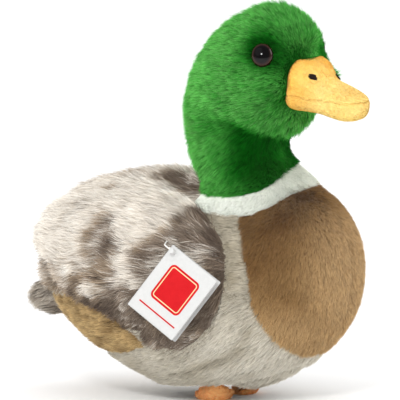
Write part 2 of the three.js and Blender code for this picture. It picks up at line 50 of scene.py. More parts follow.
aim_right = -0.00694
aim_up = 0.1128
away = Vector((math.sin(camera_turn) * math.cos(camera_rise),
               -math.cos(camera_turn) * math.cos(camera_rise), math.sin(camera_rise)))
across = Vector((math.cos(camera_turn), math.sin(camera_turn), 0))


def linked(name, data):
    made = bpy.data.objects.new(name, data)
    bpy.context.scene.collection.objects.link(made)
    return made


camera = linked("camera", bpy.data.cameras.new("camera"))
camera.data.sensor_width = sensor_width
camera.data.lens = camera_lens
camera.rotation_mode = "QUATERNION"
camera.rotation_quaternion = away.to_track_quat("Z", "Y")
camera_distance = picture_width * camera_lens / sensor_width
camera.location = across * aim_right + away.cross(across) * aim_up + away * camera_distance
camera.data.clip_start = 0.05
camera.data.clip_end = 100
bpy.context.scene.camera = camera


# Filling
# White polyester fibre, blown into the sewn cover of the body, the neck and the head
# through a seam that is then closed by hand. The covers hide all of it.
class Surface:
    """A material under way: its shader's inputs, and the noises that feed them."""

    def __init__(self, name):
        self.name = name
        self.material = bpy.data.materials.new(name)
        self.material.use_nodes = True
        tree = self.material.node_tree
        self.nodes, self.links = tree.nodes, tree.links
        self.place = self.add("TexCoord").outputs["Object"]
        self.inputs = self.nodes["Principled BSDF"].inputs

    def add(self, kind, values=(), **settings):
        """A node of its kind; values go by its inputs' names or numbers, and an output
        of another node is linked."""
        made = self.nodes.new("ShaderNode" + kind)
        for key, value in settings.items():
            setattr(made, key, value)
        for key, value in dict(values).items():
            if isinstance(value, bpy.types.NodeSocket):
                self.links.new(value, made.inputs[key])
            else:
                made.inputs[key].default_value = value
        return made

    def noise(self, scale, detail=4):
        return self.add("TexNoise", {"Scale": scale, "Detail": detail, "Roughness": 0.6,
                                     "Vector": self.place}).outputs["Fac"]

    def ramp(self, source, stops):
        made = self.add("ValToRGB", {"Fac": source})
        for at, _ in stops[2:]:
            made.color_ramp.elements.new(at)
        for element, (at, shade) in zip(made.color_ramp.elements, stops):
            element.position = at
            element.color = (*np.broadcast_to(shade, 3), 1)
        return made.outputs["Color"]

    def speckle(self, scale, low, high, detail=4, span=(0.3, 0.7)):
        return self.ramp(self.noise(scale, detail), list(zip(span, (low, high))))

    def coloured(self, scale, low, high, detail=4, span=(0.3, 0.7)):
        self.links.new(self.speckle(scale, low, high, detail, span), self.inputs["Base Color"])

    def roughened(self, scale, low, high, detail=4):
        self.links.new(self.speckle(scale, low, high, detail), self.inputs["Roughness"])

    def bumped(self, scale, strength, distance, detail=4):
        made = self.add("Bump", {"Strength": strength, "Distance": distance,
                                 "Height": self.noise(scale, detail)})
        self.links.new(made.outputs["Normal"], self.inputs["Normal"])

    def set(self, socket, value):
        self.inputs[socket].default_value = value


def riding(name, mesh, surface):
    """A smooth piece of the scene that goes with the duck's body."""
    mesh.polygons.foreach_set("use_smooth", np.ones(len(mesh.polygons), bool))
    mesh.materials.append(surface.material)
    made = linked(name, mesh)
    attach(made, "duck")
    return made


def stuffed(piece, node):
    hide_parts(node)


def merged_copy(nodes, name):
    made = linked(name, bpy.data.meshes.new(name))
    shape = bmesh.new()
    for node in nodes:
        shape.from_mesh(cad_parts[node].data)
    bmesh.ops.remove_doubles(shape, verts=shape.verts, dist=1e-6)
    shape.to_mesh(made.data)
    shape.free()
    made.data.materials.clear()
    return made


def primitive(add, **form):
    bpy.ops.object.select_all(action="DESELECT")
    add(**form)
    return bpy.context.active_object


def apply_modifier(piece, kind, **settings):
    bpy.ops.object.select_all(action="DESELECT")
    piece.select_set(True)
    bpy.context.view_layer.objects.active = piece
    modifier = piece.modifiers.new(kind, kind)
    for key, value in settings.items():
        setattr(modifier, key, value)
    bpy.ops.object.modifier_apply(modifier=modifier.name)


def read(items, name, kind=float, width=3):
    values = np.empty(len(items) * width, kind)
    items.foreach_get(name, values)
    return values.reshape(-1, width)


def triangles_of(mesh):
    mesh.calc_loop_triangles()
    return read(mesh.loop_triangles, "vertices", int)


def soft_copy(node, size, rounds, sunk):
    """A CAD solid's form without its facets: its points, normals and triangles."""
    made = merged_copy([node], node + "_form")
    apply_modifier(made, "REMESH", mode="VOXEL", voxel_size=size)
    apply_modifier(made, "SMOOTH", factor=0.5, iterations=rounds)
    normals = read(made.data.vertices, "normal")
    skin = (read(made.data.vertices, "co") - normals * sunk, normals,
            triangles_of(made.data))
    bpy.data.objects.remove(made)
    return skin


fibre = Surface("polyester_fibre")
fibre.coloured(260, (0.62, 0.62, 0.6), (0.86, 0.86, 0.84))
fibre.roughened(90, 0.85, 1)
fibre.bumped(900, 0.6, 0.001, 6)
fibre_voxel = 0.003
filling_sunk = 0.0085
for node in ("body_filling", "neck_filling", "head_filling"):
    points, _, triangles = soft_copy(node, fibre_voxel, 6, filling_sunk)
    mesh = bpy.data.meshes.new(node + "_fibre")
    mesh.from_pydata(points.tolist(), [], triangles.tolist())
    stuffed(riding(node + "_fibre", mesh, fibre), node)


# Cover form
# The whole sewn cover as one smooth skin below the pile: the cut panels' solids joined,
# with their facets smoothed out, then sunk by the height that the pile stands off it.
cover_nodes = ["breast_panel_left", "breast_panel_right", "side_panel_left",
               "side_panel_right", "belly_panel", "back_panel", "rump_panel_left",
               "rump_panel_right", "wing_left", "wing_right", "tail", "collar",
               "head_cover_left", "head_cover_right"]
pile_height = {"breast": 0.0026, "side": 0.0028, "belly": 0.0028, "back": 0.0042,
               "rump": 0.003, "wing": 0.0042, "tail": 0.0044, "collar": 0.0012,
               "head": 0.0058}
held_height = 0.0026
voxel = 0.0022
body_smoothing = 14
head_smoothing = 5
eye_place = np.array([0.0507, 0.0320, 0.2040])
bill_place = np.array([0.064, 0.0, 0.188])
# Lines where the filled cover is drawn in, each with its depth and its reach; the one on
# the flank is mirrored on the other side
creases = [([(0.0915, 0, 0.096), (0.0934, 0, 0.085), (0.0936, 0, 0.072), (0.0925, 0, 0.062)],
            0.0008, 0.0026),
           ([(0.005, -0.0455, 0.0165), (0.023, -0.0479, 0.023), (0.034, -0.0473, 0.0271),
             (0.0429, -0.0466, 0.031), (0.0487, -0.0485, 0.0379),
             (0.0525, -0.0505, 0.0453)], 0.0022, 0.0032),
           ([(0.0210, -0.0364, 0.1613), (0.0290, -0.0351, 0.1587), (0.0374, -0.0324, 0.1572),
             (0.0446, -0.0275, 0.1559), (0.0497, -0.0190, 0.1545), (0.0510, 0, 0.1530)],
            0.0024, 0.0045)]
# Edges between the panels as the pile shows them. The ring's go by the turn about the
# neck in degrees, from the right side to the left, and then its height
ring_top = [(-112, -93, -72, -58, -44, -31, -5, 24, 45, 70, 95, 112),
            (0.1237, 0.1218, 0.1220, 0.1231, 0.1252, 0.1290, 0.1355, 0.1387, 0.1365, 0.1290,
             0.1235, 0.1237)]
ring_foot = [(-112, -100, -82, -58, -50, -40, -29, -17, 0, 17, 35, 50, 62, 82, 100, 112),
             (0.1150, 0.1148, 0.1120, 0.1116, 0.1125, 0.1154, 0.1196, 0.1232, 0.1252, 0.1262,
              0.1225, 0.1160, 0.1122, 0.1120, 0.1148, 0.1150)]
neck_middle = 0.0176
# How far round the neck the ring goes and the breast meets it, how far out the ring
# reaches, how near the bill the head's pile begins, and the rear corner of the wings
ring_end, breast_end = 112, 60
ring_outer = 0.046
bill_seam = 0.0016
wing_rear, wing_rear_foot = -0.068, 0.062
# How high, and how far round the neck the pile of the back begins
nape_turn = [(0.110, 0.118, 0.124, 0.130), (104, 104, 108, 124)]
# How far along and how high: the gold panels' top, and the lower rim of the wings
gold_top = [(-0.0709, -0.0626, -0.0519, -0.0406, -0.0314, -0.0238, -0.0155, -0.0115),
            (0.0632, 0.0608, 0.0592, 0.0550, 0.0495, 0.0442, 0.0393, 0.0352)]
gold_foot = 0.0325
wing_foot = [(-0.0115, -0.003, 0.008, 0.0147, 0.022, 0.0293, 0.0355, 0.0396, 0.0423),
             (0.0365, 0.0335, 0.0330, 0.0335, 0.0380, 0.0445, 0.0525, 0.0610, 0.0690)]
# How high and how far along: the front of the wings, and the rear edge of the breast
wing_front = [(0.0690, 0.0782, 0.0894, 0.0948, 0.0995, 0.1041, 0.1079, 0.1113, 0.1134),
              (0.0410, 0.0416, 0.0410, 0.0383, 0.0343, 0.0291, 0.0220, 0.0150, 0.0105)]
breast_edge = [(0.0430, 0.0540, 0.0630, 0.0778, 0.0852, 0.0924, 0.1005, 0.1087, 0.1120),
               (0.0643, 0.0602, 0.0578, 0.0563, 0.0541, 0.0509, 0.0475, 0.0416, 0.0400)]
# Middle of each place where the filling bulges or the cover is drawn in, its reach, and how
# far it goes which way
bulges = [((0.058, 0.031, 0.185), 0.012, (0.0045, 0.001, 0)),
          ((0.058, -0.031, 0.185), 0.012, (0.0045, -0.001, 0)),
          ((0.056, 0, 0.160), 0.012, (0.003, 0, -0.002)),
          ((0.058, 0.012, 0.120), 0.02, (0.0016, 0.0005, 0.0016)),
          ((0.052, 0.014, 0.130), 0.011, (0.0030, 0.0010, 0)),
          ((-0.089, 0.042, 0.072), 0.010, (0.0120, -0.0066, 0)),
          ((-0.089, -0.042, 0.072), 0.010, (0.0120, 0.0066, 0)),
          ((-0.012, 0.018, 0.122), 0.016, (0.0034, -0.0020, 0)),
          ((-0.012, -0.018, 0.122), 0.016, (0.0034, 0.0020, 0)),
          ((0.030, 0, 0.232), 0.03, (0, 0, -0.0012)),
          ((0.061, 0.030, 0.183), 0.010, (0.0035, 0.0015, 0)),
          ((-0.105, 0, 0.056), 0.02, (0.002, 0, 0.0012))]


def spread(values, ends, rounds):
    for _ in range(rounds):
        total = values.copy()
        count = np.ones(len(values))
        np.add.at(total, ends[:, 0], values[ends[:, 1]])
        np.add.at(total, ends[:, 1], values[ends[:, 0]])
        np.add.at(count, ends[:, 0], 1)
        np.add.at(count, ends[:, 1], 1)
        values = (total.T / count).T
    return values


def ease(values, low, high):
    share = np.clip((values - low) / (high - low), 0, 1)
    return share * share * (3 - 2 * share)


def mixed(first, second, share):
    share = np.asarray(share)[:, None]
    return first * (1 - share) + second * share


def bell(offsets):
    """1 where there is no offset, falling off to 0 round it."""
    return np.exp(-(offsets ** 2).sum(axis=1))


def mirrored(places):
    """The places, with those on the right side moved across to the left."""
    return places * [1, 0, 1] + np.abs(places) * [0, 1, 0]


def near_crease(places):
    """How much of each crease's depth is felt at each place."""
    total = np.zeros(len(places))
    right = mirrored(places) * [1, -1, 1]
    for line, depth, reach in creases:
        far = np.full(len(places), 1.0)
        for start, end in zip(np.array(line[:-1]), np.array(line[1:])):
            run = end - start
            share = np.clip(((right - start) @ run) / (run @ run), 0, 1)
            far = np.minimum(far, np.linalg.norm(right - start - share[:, None] * run, axis=1))
        total = np.maximum(total, depth * np.exp(-(far / reach) ** 2))
    return total


cover = merged_copy(cover_nodes + ["body_filling", "neck_filling", "head_filling",
                                   "upper_bill", "lower_bill"], "cover_form")
apply_modifier(cover, "REMESH", mode="VOXEL", voxel_size=voxel)
form_edges = read(cover.data.edges, "vertices", int, 2)
sharp = spread(read(cover.data.vertices, "co"), form_edges, head_smoothing)
smooth = spread(sharp, form_edges, body_smoothing - head_smoothing)
kept = np.maximum(ease(sharp[:, 2], 0.108, 0.124), ease(-sharp[:, 0], 0.092, 0.1))
form_points = mixed(smooth, sharp, kept)
for middle, reach, way in bulges:
    near = bell((form_points - middle) / reach)
    form_points = form_points + near[:, None] * way
cover.data.vertices.foreach_set("co", form_points.ravel())
cover.data.update()
form_normals = read(cover.data.vertices, "normal")
form_triangles = triangles_of(cover.data)

corners, owners, faces = [], [], []
for node in cover_nodes + ["upper_bill", "lower_bill"]:
    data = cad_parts[node].data
    start = len(corners)
    corners += [v.co.copy() for v in data.vertices]
    faces += [[start + i for i in p.vertices] for p in data.polygons]
    owners += [node] * len(data.polygons)
finder = bvhtree.BVHTree.FromPolygons(corners, faces)
nearest = [owners[finder.find_nearest(Vector(p))[2]] for p in form_points]
sink = np.array([pile_height.get(n.split("_")[0], 0.001) for n in nearest])
sink = spread(sink, form_edges, 6)
held = bell((mirrored(form_points) - eye_place) / 0.011)
held = np.maximum(held, ease(form_points[:, 0], 0.03, 0.05) * 0.85)
held = held * ease(form_points[:, 2], 0.126, 0.134)
held = held * (1 - 0.6 * bell((form_points - bill_place) / [0.02, 0.028, 0.024]))
sink = sink * (1 - held) + held_height * held
sink += near_crease(form_points)
outer_points = form_points
middles = outer_points[form_triangles].mean(axis=1)
form_points = form_points - form_normals * sink[:, None]
foot_places = ((form_points - [0.012, 0, 0]) * [1 / 0.034, 0, 0]) ** 2
foot_places[:, 1] = ((np.abs(form_points[:, 1]) - 0.018) / 0.03) ** 2
lift = 0.0025 + 0.0105 * np.exp(-(foot_places.sum(axis=1)) ** 2)
form_points[:, 2] = np.maximum(form_points[:, 2], lift)
bpy.data.objects.remove(cover)

head_finder = bvhtree.BVHTree.FromPolygons(
    corners, [f for f, owner in zip(faces, owners) if owner.startswith("head_cover")])
bill_finder = bvhtree.BVHTree.FromPolygons(
    corners, [f for f, owner in zip(faces, owners) if owner.endswith("bill")])


def owner_at(place):
    """The panel that a place on the unsunk skin belongs to."""
    x, y, z = place
    owner = owners[finder.find_nearest(Vector(place))[2]]
    side = "_left" if y > 0 else "_right"
    if owner.endswith("bill") and head_finder.find_nearest(Vector(place))[3] < bill_seam:
        owner = "head_cover" + side
    turn = math.degrees(math.atan2(y, x - neck_middle))
    if abs(turn) < ring_end and 0.1 < z < 0.15:
        top, foot = np.interp(turn, *ring_top), np.interp(turn, *ring_foot)
        if owner == "collar" and z > top:
            owner = "head_cover" + side
        elif owner == "collar" and z < foot and abs(turn) < breast_end:
            owner = "breast_panel" + side
        elif foot < z < top and math.hypot(x - neck_middle, y) < ring_outer:
            owner = "collar"
    if owner == "collar" and abs(turn) > nape_turn[1][0]:
        owner = "back_panel"
    if owner.startswith("head") and abs(turn) > np.interp(z, *nape_turn) and z < nape_turn[0][-1]:
        owner = "back_panel"
    if owner.startswith(("side", "breast")) and breast_edge[0][0] < z < breast_edge[0][-1]:
        before = x > np.interp(z, *breast_edge)
        owner = ("breast_panel" if before else "side_panel") + side
    if owner.startswith("side"):
        if wing_foot[0][0] < x < wing_foot[0][-1] and z < wing_front[0][0]:
            if z > np.interp(x, *wing_foot):
                owner = "wing" + side
        elif 0 < x < np.interp(z, *wing_front) and wing_front[0][0] < z < wing_front[0][-1]:
            owner = "wing" + side
        elif x < wing_rear and z > wing_rear_foot:
            owner = "wing" + side
    if (owner.startswith(("wing", "side")) and gold_top[0][0] < x < gold_top[0][-1]
            and gold_foot < z < np.interp(x, *gold_top)):
        owner = "rump_panel" + side
    return owner


face_owner = np.array([owner_at(place) for place in middles])


# Belly
# Off-white knitted plush with a combed pile, one oval panel sewn in between the side
# panels, the breast and the rump. The duck rests on it.
def unit(vectors):
    return vectors / np.maximum(np.linalg.norm(vectors, axis=1, keepdims=True), 1e-9)


def waves(places, length, seed, stretch=(1, 1, 1)):
    rng = np.random.default_rng(seed)
    total = np.zeros(len(places))
    for octave in range(3):
        for _ in range(7):
            way = rng.normal(size=3)
            way /= np.linalg.norm(way)
            way = way * (2 * math.pi * 2 ** octave / length) / np.array(stretch)
            total += np.sin(places @ way + rng.uniform(0, 6.28)) / 1.6 ** octave
    return total / 4


def linear(colour):
    share = np.asarray(colour, float) / 255
    return np.where(share <= 0.04045, share / 12.92, ((share + 0.055) / 1.055) ** 2.4)


def plush(name, fibre_scale=900, sheen=0.12, sheen_tint=(1, 1, 1), specular=0.12):
    made = Surface(name)
    pile = made.add("Attribute", attribute_name="pile_colour").outputs["Color"]
    mix = made.add("Mix", {"Factor": 1, 6: pile, 7: made.speckle(55, 0.93, 1.06, 3, (0.25, 0.75))},
                   data_type="RGBA", blend_type="MULTIPLY")
    made.links.new(mix.outputs[2], made.inputs["Base Color"])
    made.roughened(fibre_scale, 0.62, 0.9, 2)
    made.bumped(fibre_scale * 2, 0.25, 0.0003, 2)
    made.set("Specular IOR Level", specular)
    made.set("Sheen Weight", sheen)
    made.set("Sheen Roughness", 0.5)
    made.set("Sheen Tint", (*sheen_tint, 1))
    return made


def patch(node):
    """The skin of one panel: its points, normals and triangles, then those with their
    next neighbours, and where each point lies before it is sunk."""
    own = face_owner == node
    beside = np.isin(form_triangles, np.unique(form_triangles[own])).any(axis=1)
    kept, numbers = np.unique(form_triangles[beside], return_inverse=True)
    numbers = numbers.reshape(-1, 3)
    return (form_points[kept], form_normals[kept], numbers[own[beside]], numbers,
            outer_points[kept])


cloth_wall = 0.0012
# How high over the floor the cloth and the hairs stay at least, where along its length a
# hair bends, and how wide the rim of each cell of the map is
cloth_clearance = 0.0002
hair_clearance = 0.0003
hair_bend = 0.45
cell_rim = 0.12


def walled(points, normals, triangles, wall):
    """The skin closed to a thin cloth: its inner face and its rim are added."""
    count = len(points)
    inner = triangles[:, ::-1] + count
    ends = np.concatenate([triangles[:, [0, 1]], triangles[:, [1, 2]], triangles[:, [2, 0]]])
    codes = ends[:, 0] * count + ends[:, 1]
    back = ends[:, 1] * count + ends[:, 0]
    rim = ends[~np.isin(codes, back)]
    sides = np.concatenate([
        np.stack([rim[:, 1], rim[:, 0], rim[:, 0] + count], axis=1),
        np.stack([rim[:, 1], rim[:, 0] + count, rim[:, 1] + count], axis=1)])
    return (np.concatenate([points, points - normals * wall]),
            np.concatenate([triangles, inner, sides]), rim)


def tree_of(places):
    tree = kdtree.KDTree(len(places))
    for i, place in enumerate(places):
        tree.insert(place, i)
    tree.balance()
    return tree


def grow(name, node, fill, density, length, width, lean, comb, colours, surface, seed,
         clump=0.002, gather=0.34, stray=0.14, segments=2, bare=None, edge=(0.003, 0.6),
         uneven=0.05, closed=None):
    """One panel of plush: its cloth and every tuft of its pile in one mesh. A stuffed
    piece gives its own closed skin.
    density counts the hairs to a square mm. lean gives the angles off the cloth at which a
    hair starts and ends, comb the way it lies, and colours those of its root and its tip.
    clump is how far apart the tufts are, gather how much they draw together and stray how
    much each hair keeps out. edge is how far in from the rim, and to what share of their
    length, the hairs are clipped."""
    rng = np.random.default_rng(seed)
    points, normals, triangles, wide, outer = (
        (*closed, closed[2], None) if closed else patch(node))
    a, b, c = (points[wide[:, i]] for i in range(3))
    area = np.linalg.norm(np.cross(b - a, c - a), axis=1) / 2

    def rooted(count):
        face = rng.choice(len(wide), count, p=area / area.sum())
        u, v = rng.random(count), rng.random(count)
        over = u + v > 1
        u, v = np.where(over, 1 - u, u), np.where(over, 1 - v, v)
        share = np.stack([1 - u - v, u, v], axis=1)[:, :, None]
        places = (points[wide[face]] * share).sum(axis=1)
        ups = unit((normals[wide[face]] * share).sum(axis=1))
        if not closed:
            unsunk = (outer[wide[face]] * share).sum(axis=1)
            own = np.array([owner_at(place) == node for place in unsunk])
            places, ups = places[own], ups[own]
        return places, ups

    def hairs(root, up, scatter):
        way = comb(root, up)
        way = way + rng.normal(size=way.shape) * scatter
        way = unit(way - up * (way * up).sum(axis=1)[:, None])
        jitter = rng.normal(size=len(root)) * scatter * 0.6
        first, last = lean[0] + jitter, lean[1] + jitter * 0.5
        one = way * np.cos(first)[:, None] + up * np.sin(first)[:, None]
        two = way * np.cos(last)[:, None] + up * np.sin(last)[:, None]
        return one, unit(two)

    def along(root, one, two, long, share):
        bend = root + one * long * hair_bend
        end = bend + two * long * (1 - hair_bend)
        return root * (1 - share) ** 2 + bend * 2 * share * (1 - share) + end * share ** 2

    def near_rim(places):
        far = np.array([rim_tree.find(place)[2] for place in places])
        return 1 - (1 - edge[1]) * np.exp(-(far / edge[0]) ** 2)

    total = area.sum()
    cloth_points, cloth_triangles, rim = points, triangles, []
    if not closed:
        cloth_points, cloth_triangles, rim = walled(points, normals, triangles, cloth_wall)
    rim = points[np.unique(rim)] if len(rim) else points[:1] + 1
    rim_tree = tree_of(rim)
    root, up = rooted(int(total * 1e6 * density))
    if bare is not None:
        keep = bare(root) > rng.random(len(root))
        root, up = root[keep], up[keep]
    seeds, seed_up = rooted(max(8, int(total / clump ** 2)))
    long_here = length(root) if callable(length) else np.full(len(root), length)
    long_seed = length(seeds) if callable(length) else np.full(len(seeds), length)
    lock_size = rng.normal(1, uneven * 1.5, len(seeds))
    lock_shade = rng.normal(1, uneven, len(seeds))
    lock_tree = tree_of(seeds)
    lock = np.array([lock_tree.find(place)[1] for place in root])
    one, two = hairs(root, up, stray)
    seed_one, seed_two = hairs(seeds, seed_up, stray * 0.8)
    long_here = long_here * near_rim(root) * lock_size[lock] * rng.normal(1, 0.1, len(root))
    long_here = long_here[:, None]
    long_seed = (long_seed * near_rim(seeds))[:, None]
    pull = gather * rng.uniform(0.5, 1, len(root))[:, None]
    shares = [0, 0.55, 1] if segments == 2 else [0, 0.34, 0.68, 1]
    line = []
    for share in shares:
        own = along(root, one, two, long_here, share)
        led = along(seeds, seed_one, seed_two, long_seed, share)[lock]
        weight = pull * share ** 1.4
        line.append(own * (1 - weight) + led * weight)
    line = np.stack(line, axis=1)
    line[:, 1:, 2] = np.maximum(line[:, 1:, 2], hair_clearance)
    run = unit(line[:, -1] - line[:, 0])
    flat = unit(np.cross(run, up))
    turn = rng.normal(size=len(root)) * 0.55
    flat = flat * np.cos(turn)[:, None] + np.cross(run, flat) * np.sin(turn)[:, None]
    shown = line[:, 0] * 0.35 + line[:, -1] * 0.65
    root_tint, tip_tint = colours(shown, seeds[lock] + shown - root, rng)
    shade = (lock_shade[lock] * rng.normal(1, 0.06, len(root)))[:, None]

    count = len(root)
    places, tints = [], []
    # Each hair goes from its root colour to its tip colour. The roots are darker than the tips:
    # painted shade deep in the pile, laid over the fibres' own colours.
    for i, share in enumerate(shares[:-1]):
        half = flat * width / 2 * (1 - 0.25 * share)
        places += [line[:, i] - half, line[:, i] + half]
        light = share ** 1.6
        tints += [(root_tint * (1 - light) + tip_tint * light) * shade] * 2
    places.append(line[:, -1])
    tints.append(tip_tint * shade)
    per = len(places)
    hair_points = np.stack(places, axis=1).reshape(-1, 3)
    hair_tints = np.stack(tints, axis=1).reshape(-1, 3)
    strip = []
    for i in range(len(shares) - 2):
        strip += [[2 * i, 2 * i + 1, 2 * i + 3], [2 * i, 2 * i + 3, 2 * i + 2]]
    strip.append([per - 3, per - 2, per - 1])
    strip = np.array(strip)
    hair_triangles = (strip[None] + (np.arange(count) * per)[:, None, None]).reshape(-1, 3)

    # The cloth of an open panel gets 0.8 of its roots' colour: painted shade under the pile.
    under = colours(points, points, rng)[0] * (1 if closed else 0.8)
    cloth_tints = np.concatenate([under] * (len(cloth_points) // len(points)))
    every_point = np.concatenate([cloth_points, hair_points])
    every_point[:, 2] = np.maximum(every_point[:, 2], cloth_clearance)
    every_triangle = np.concatenate([cloth_triangles, hair_triangles + len(cloth_points)])
    every_tint = np.concatenate([cloth_tints, hair_tints])

    mesh = bpy.data.meshes.new(name)
    mesh.vertices.add(len(every_point))
    mesh.vertices.foreach_set("co", every_point.ravel())
    mesh.loops.add(every_triangle.size)
    mesh.loops.foreach_set("vertex_index", every_triangle.ravel())
    mesh.polygons.add(len(every_triangle))
    mesh.polygons.foreach_set("loop_start", np.arange(0, every_triangle.size, 3))
    mesh.update(calc_edges=True)
    tint = mesh.color_attributes.new("pile_colour", "FLOAT_COLOR", "POINT")
    tint.data.foreach_set("color", np.concatenate(
        [np.clip(every_tint, 0, 1), np.ones((len(every_tint), 1))], axis=1).ravel())

    # A cell of the map for each face of the cloth and for each hair
    cells = len(cloth_triangles) + count
    row = math.ceil(math.sqrt(cells))
    cell = np.arange(cells)
    corner = np.stack([cell % row, cell // row], axis=1) / row
    spots = [[side, share] for share in shares[:-1] for side in (0, 1)] + [[0.5, 1]]
    inside, spots = (cell_rim + (1 - 2 * cell_rim) * np.array(ends)
                     for ends in ([[0, 0], [1, 0], [0, 1]], spots))
    cloth_map = corner[:len(cloth_triangles), None] + inside[None] / row
    hair_map = corner[len(cloth_triangles):, None] + spots[None] / row
    hair_map = hair_map[:, strip].reshape(-1, 2)
    layer = mesh.uv_layers.new(name="OFBake")
    layer.data.foreach_set("uv", np.concatenate(
        [cloth_map.reshape(-1, 2), hair_map]).ravel().astype(np.float32))

    stuffed(riding(name, mesh, surface), node)


def grow_pair(name, node, *how, seed, **more):
    """The same panel on the left and on the right, each with hairs of its own."""
    for side in ("_left", "_right"):
        grow(name + side, node + side, *how, seed, **more)
        seed += 1


beige_root = linear((184, 175, 156))
beige_tip = linear((238, 233, 220))
# Darker beige for the tips: tone that differs at random, and painted shade
beige_tone_and_shade = linear((186, 175, 152))


def beige_colours(root, lock, rng):
    # Painted shade: the tips darken higher up the flank near the wing, and towards the rear
    high = ease(root[:, 2], 0.03, 0.085) * 0.75 + ease(-root[:, 0], -0.05, 0.02) * 0.3
    share = ease(waves(lock, 0.02, 11, (2, 1, 1)), -0.3, 1.1) * 0.35 + high
    # Painted shade in the creases where the cover is drawn in
    share = np.clip(share + near_crease(root) * 220, 0, 1.3)
    tip = mixed(beige_tip, beige_tone_and_shade, share)
    return np.tile(beige_root, (len(root), 1)) * (1 - share[:, None] * 0.15), tip


def beige_length(root):
    from_foot = (mirrored(root) - [0.012, 0.019, 0.005]) / [0.022, 0.018, 0.011]
    ahead = root[:, 0] - np.interp(root[:, 2], *wing_front)
    flank = (np.abs(root[:, 1]) > 0.03) & (root[:, 2] > 0.066) & (ahead > -0.01)
    before_wing = np.where(flank, 0.4 + 0.6 * ease(ahead, 0.001, 0.011), 1)
    under = np.interp(root[:, 0], *wing_foot) - root[:, 2]
    beside = (np.abs(root[:, 1]) > 0.03) & (root[:, 0] > 0) & (root[:, 2] < 0.069)
    below_wing = np.where(beside, 0.35 + 0.65 * ease(under, 0.001, 0.010), 1)
    return 0.0075 * before_wing * below_wing * (1 - 0.7 * bell(from_foot))


def rearward(root, up):
    way = np.tile([-1.0, 0, -0.35], (len(root), 1))
    way[:, 2] += waves(root, 0.05, 5) * 0.25
    return way


beige_plush = plush("beige_plush")
grow("belly_plush", "belly_panel", 0.8, 4.0, beige_length, 0.0003, (0.8, 0.15), rearward,
     beige_colours, beige_plush, 101)


# Sides
# The same off-white plush, one panel on each flank, seen in front of the wing and
# below it.
grow_pair("side_plush", "side_panel", 0.8, 5.0, beige_length, 0.00028, (0.8, 0.15), rearward,
          beige_colours, beige_plush, seed=111)


# Breast
# Brown plush of a shorter, denser pile in two mirrored panels that meet in a seam down
# the middle of the breast.
brown_root = linear((126, 90, 52))
brown_tip = linear((196, 160, 108))
# A paler brown for painted light, and a darker one for tone that differs at random and painted
# shade
brown_lit_tip = linear((242, 208, 156))
brown_tone_and_shade = linear((132, 97, 56))


def brown_colours(root, lock, rng):
    # Painted shade: the tips darken high up the breast under the collar, less so at its front
    high = ease(root[:, 2], 0.040, 0.098) * (1 - 0.9 * ease(root[:, 0], 0.064, 0.088))
    share = ease(waves(lock, 0.03, 21), -0.2, 1.2) * 0.25 + high * 0.85
    # Painted shade in the seam down the middle and in the creases
    share = np.clip(share + near_crease(root) * 250, 0, 1.15)
    tip = mixed(brown_tip, brown_tone_and_shade, share)
    # Painted light: the tips are paler at the front of the breast and low down
    lit_share = np.maximum(ease(root[:, 0], 0.074, 0.092) * 0.6,
                      ease(-root[:, 2], -0.064, -0.044) * 0.4)
    tip = mixed(tip, brown_lit_tip, lit_share)
    return np.tile(brown_root, (len(root), 1)) * (1 - share[:, None] * 0.2), tip


def down_the_breast(root, up):
    way = unit((root - [neck_middle, 0, 0]) * [1, 1, 0]) * 0.5 - [0.6, 0, 0.9]
    way[:, 1] += np.sign(root[:, 1]) * np.exp(-(root[:, 1] / 0.008) ** 2) * 0.1
    way[:, 2] += waves(root, 0.05, 6) * 0.15
    return way


grow_pair("breast_plush", "breast_panel", 0.85, 6.5, 0.006, 0.00024, (0.85, 0.2),
          down_the_breast, brown_colours, plush("brown_plush"), seed=121, clump=0.0015,
          stray=0.24, edge=(0.0016, 0.85), uneven=0.04)


# Rump
# Two gold plush panels below the wings and the tail.
gold_root = linear((128, 98, 56))
gold_tip = linear((220, 190, 136))
# Darker gold: tone that differs at random, and painted shade under the wing
gold_tone_and_shade = linear((134, 108, 70))


def gold_colours(root, lock, rng):
    edge = root[:, 2] - np.interp(root[:, 0], *gold_top)
    share = ease(waves(lock, 0.011, 31, (3, 1, 1)), -0.3, 1.0) * 0.75 - 0.1
    # Painted shade: the tips darken within 6 mm of the panels' top edge, under the wing's rim
    share += ease(edge, -0.006, 0.001) * 0.7
    return np.tile(gold_root, (len(root), 1)), mixed(gold_tip, gold_tone_and_shade, np.clip(share, 0, 1))


grow_pair("rump_plush", "rump_panel", 0.8, 4.6, 0.008, 0.0003, (0.8, 0.15), rearward,
          gold_colours, plush("gold_plush"), seed=131, uneven=0.1)


# Back
# Long mottled plush, cream with printed patches of grey, brown and near black, combed
# towards the tail.
cream = linear((247, 241, 232))
cream_root = linear((214, 204, 190))
fawn = linear((192, 170, 143))
smoke = linear((154, 138, 122))
soot = linear((72, 59, 52))
smoke_root = linear((112, 97, 84))
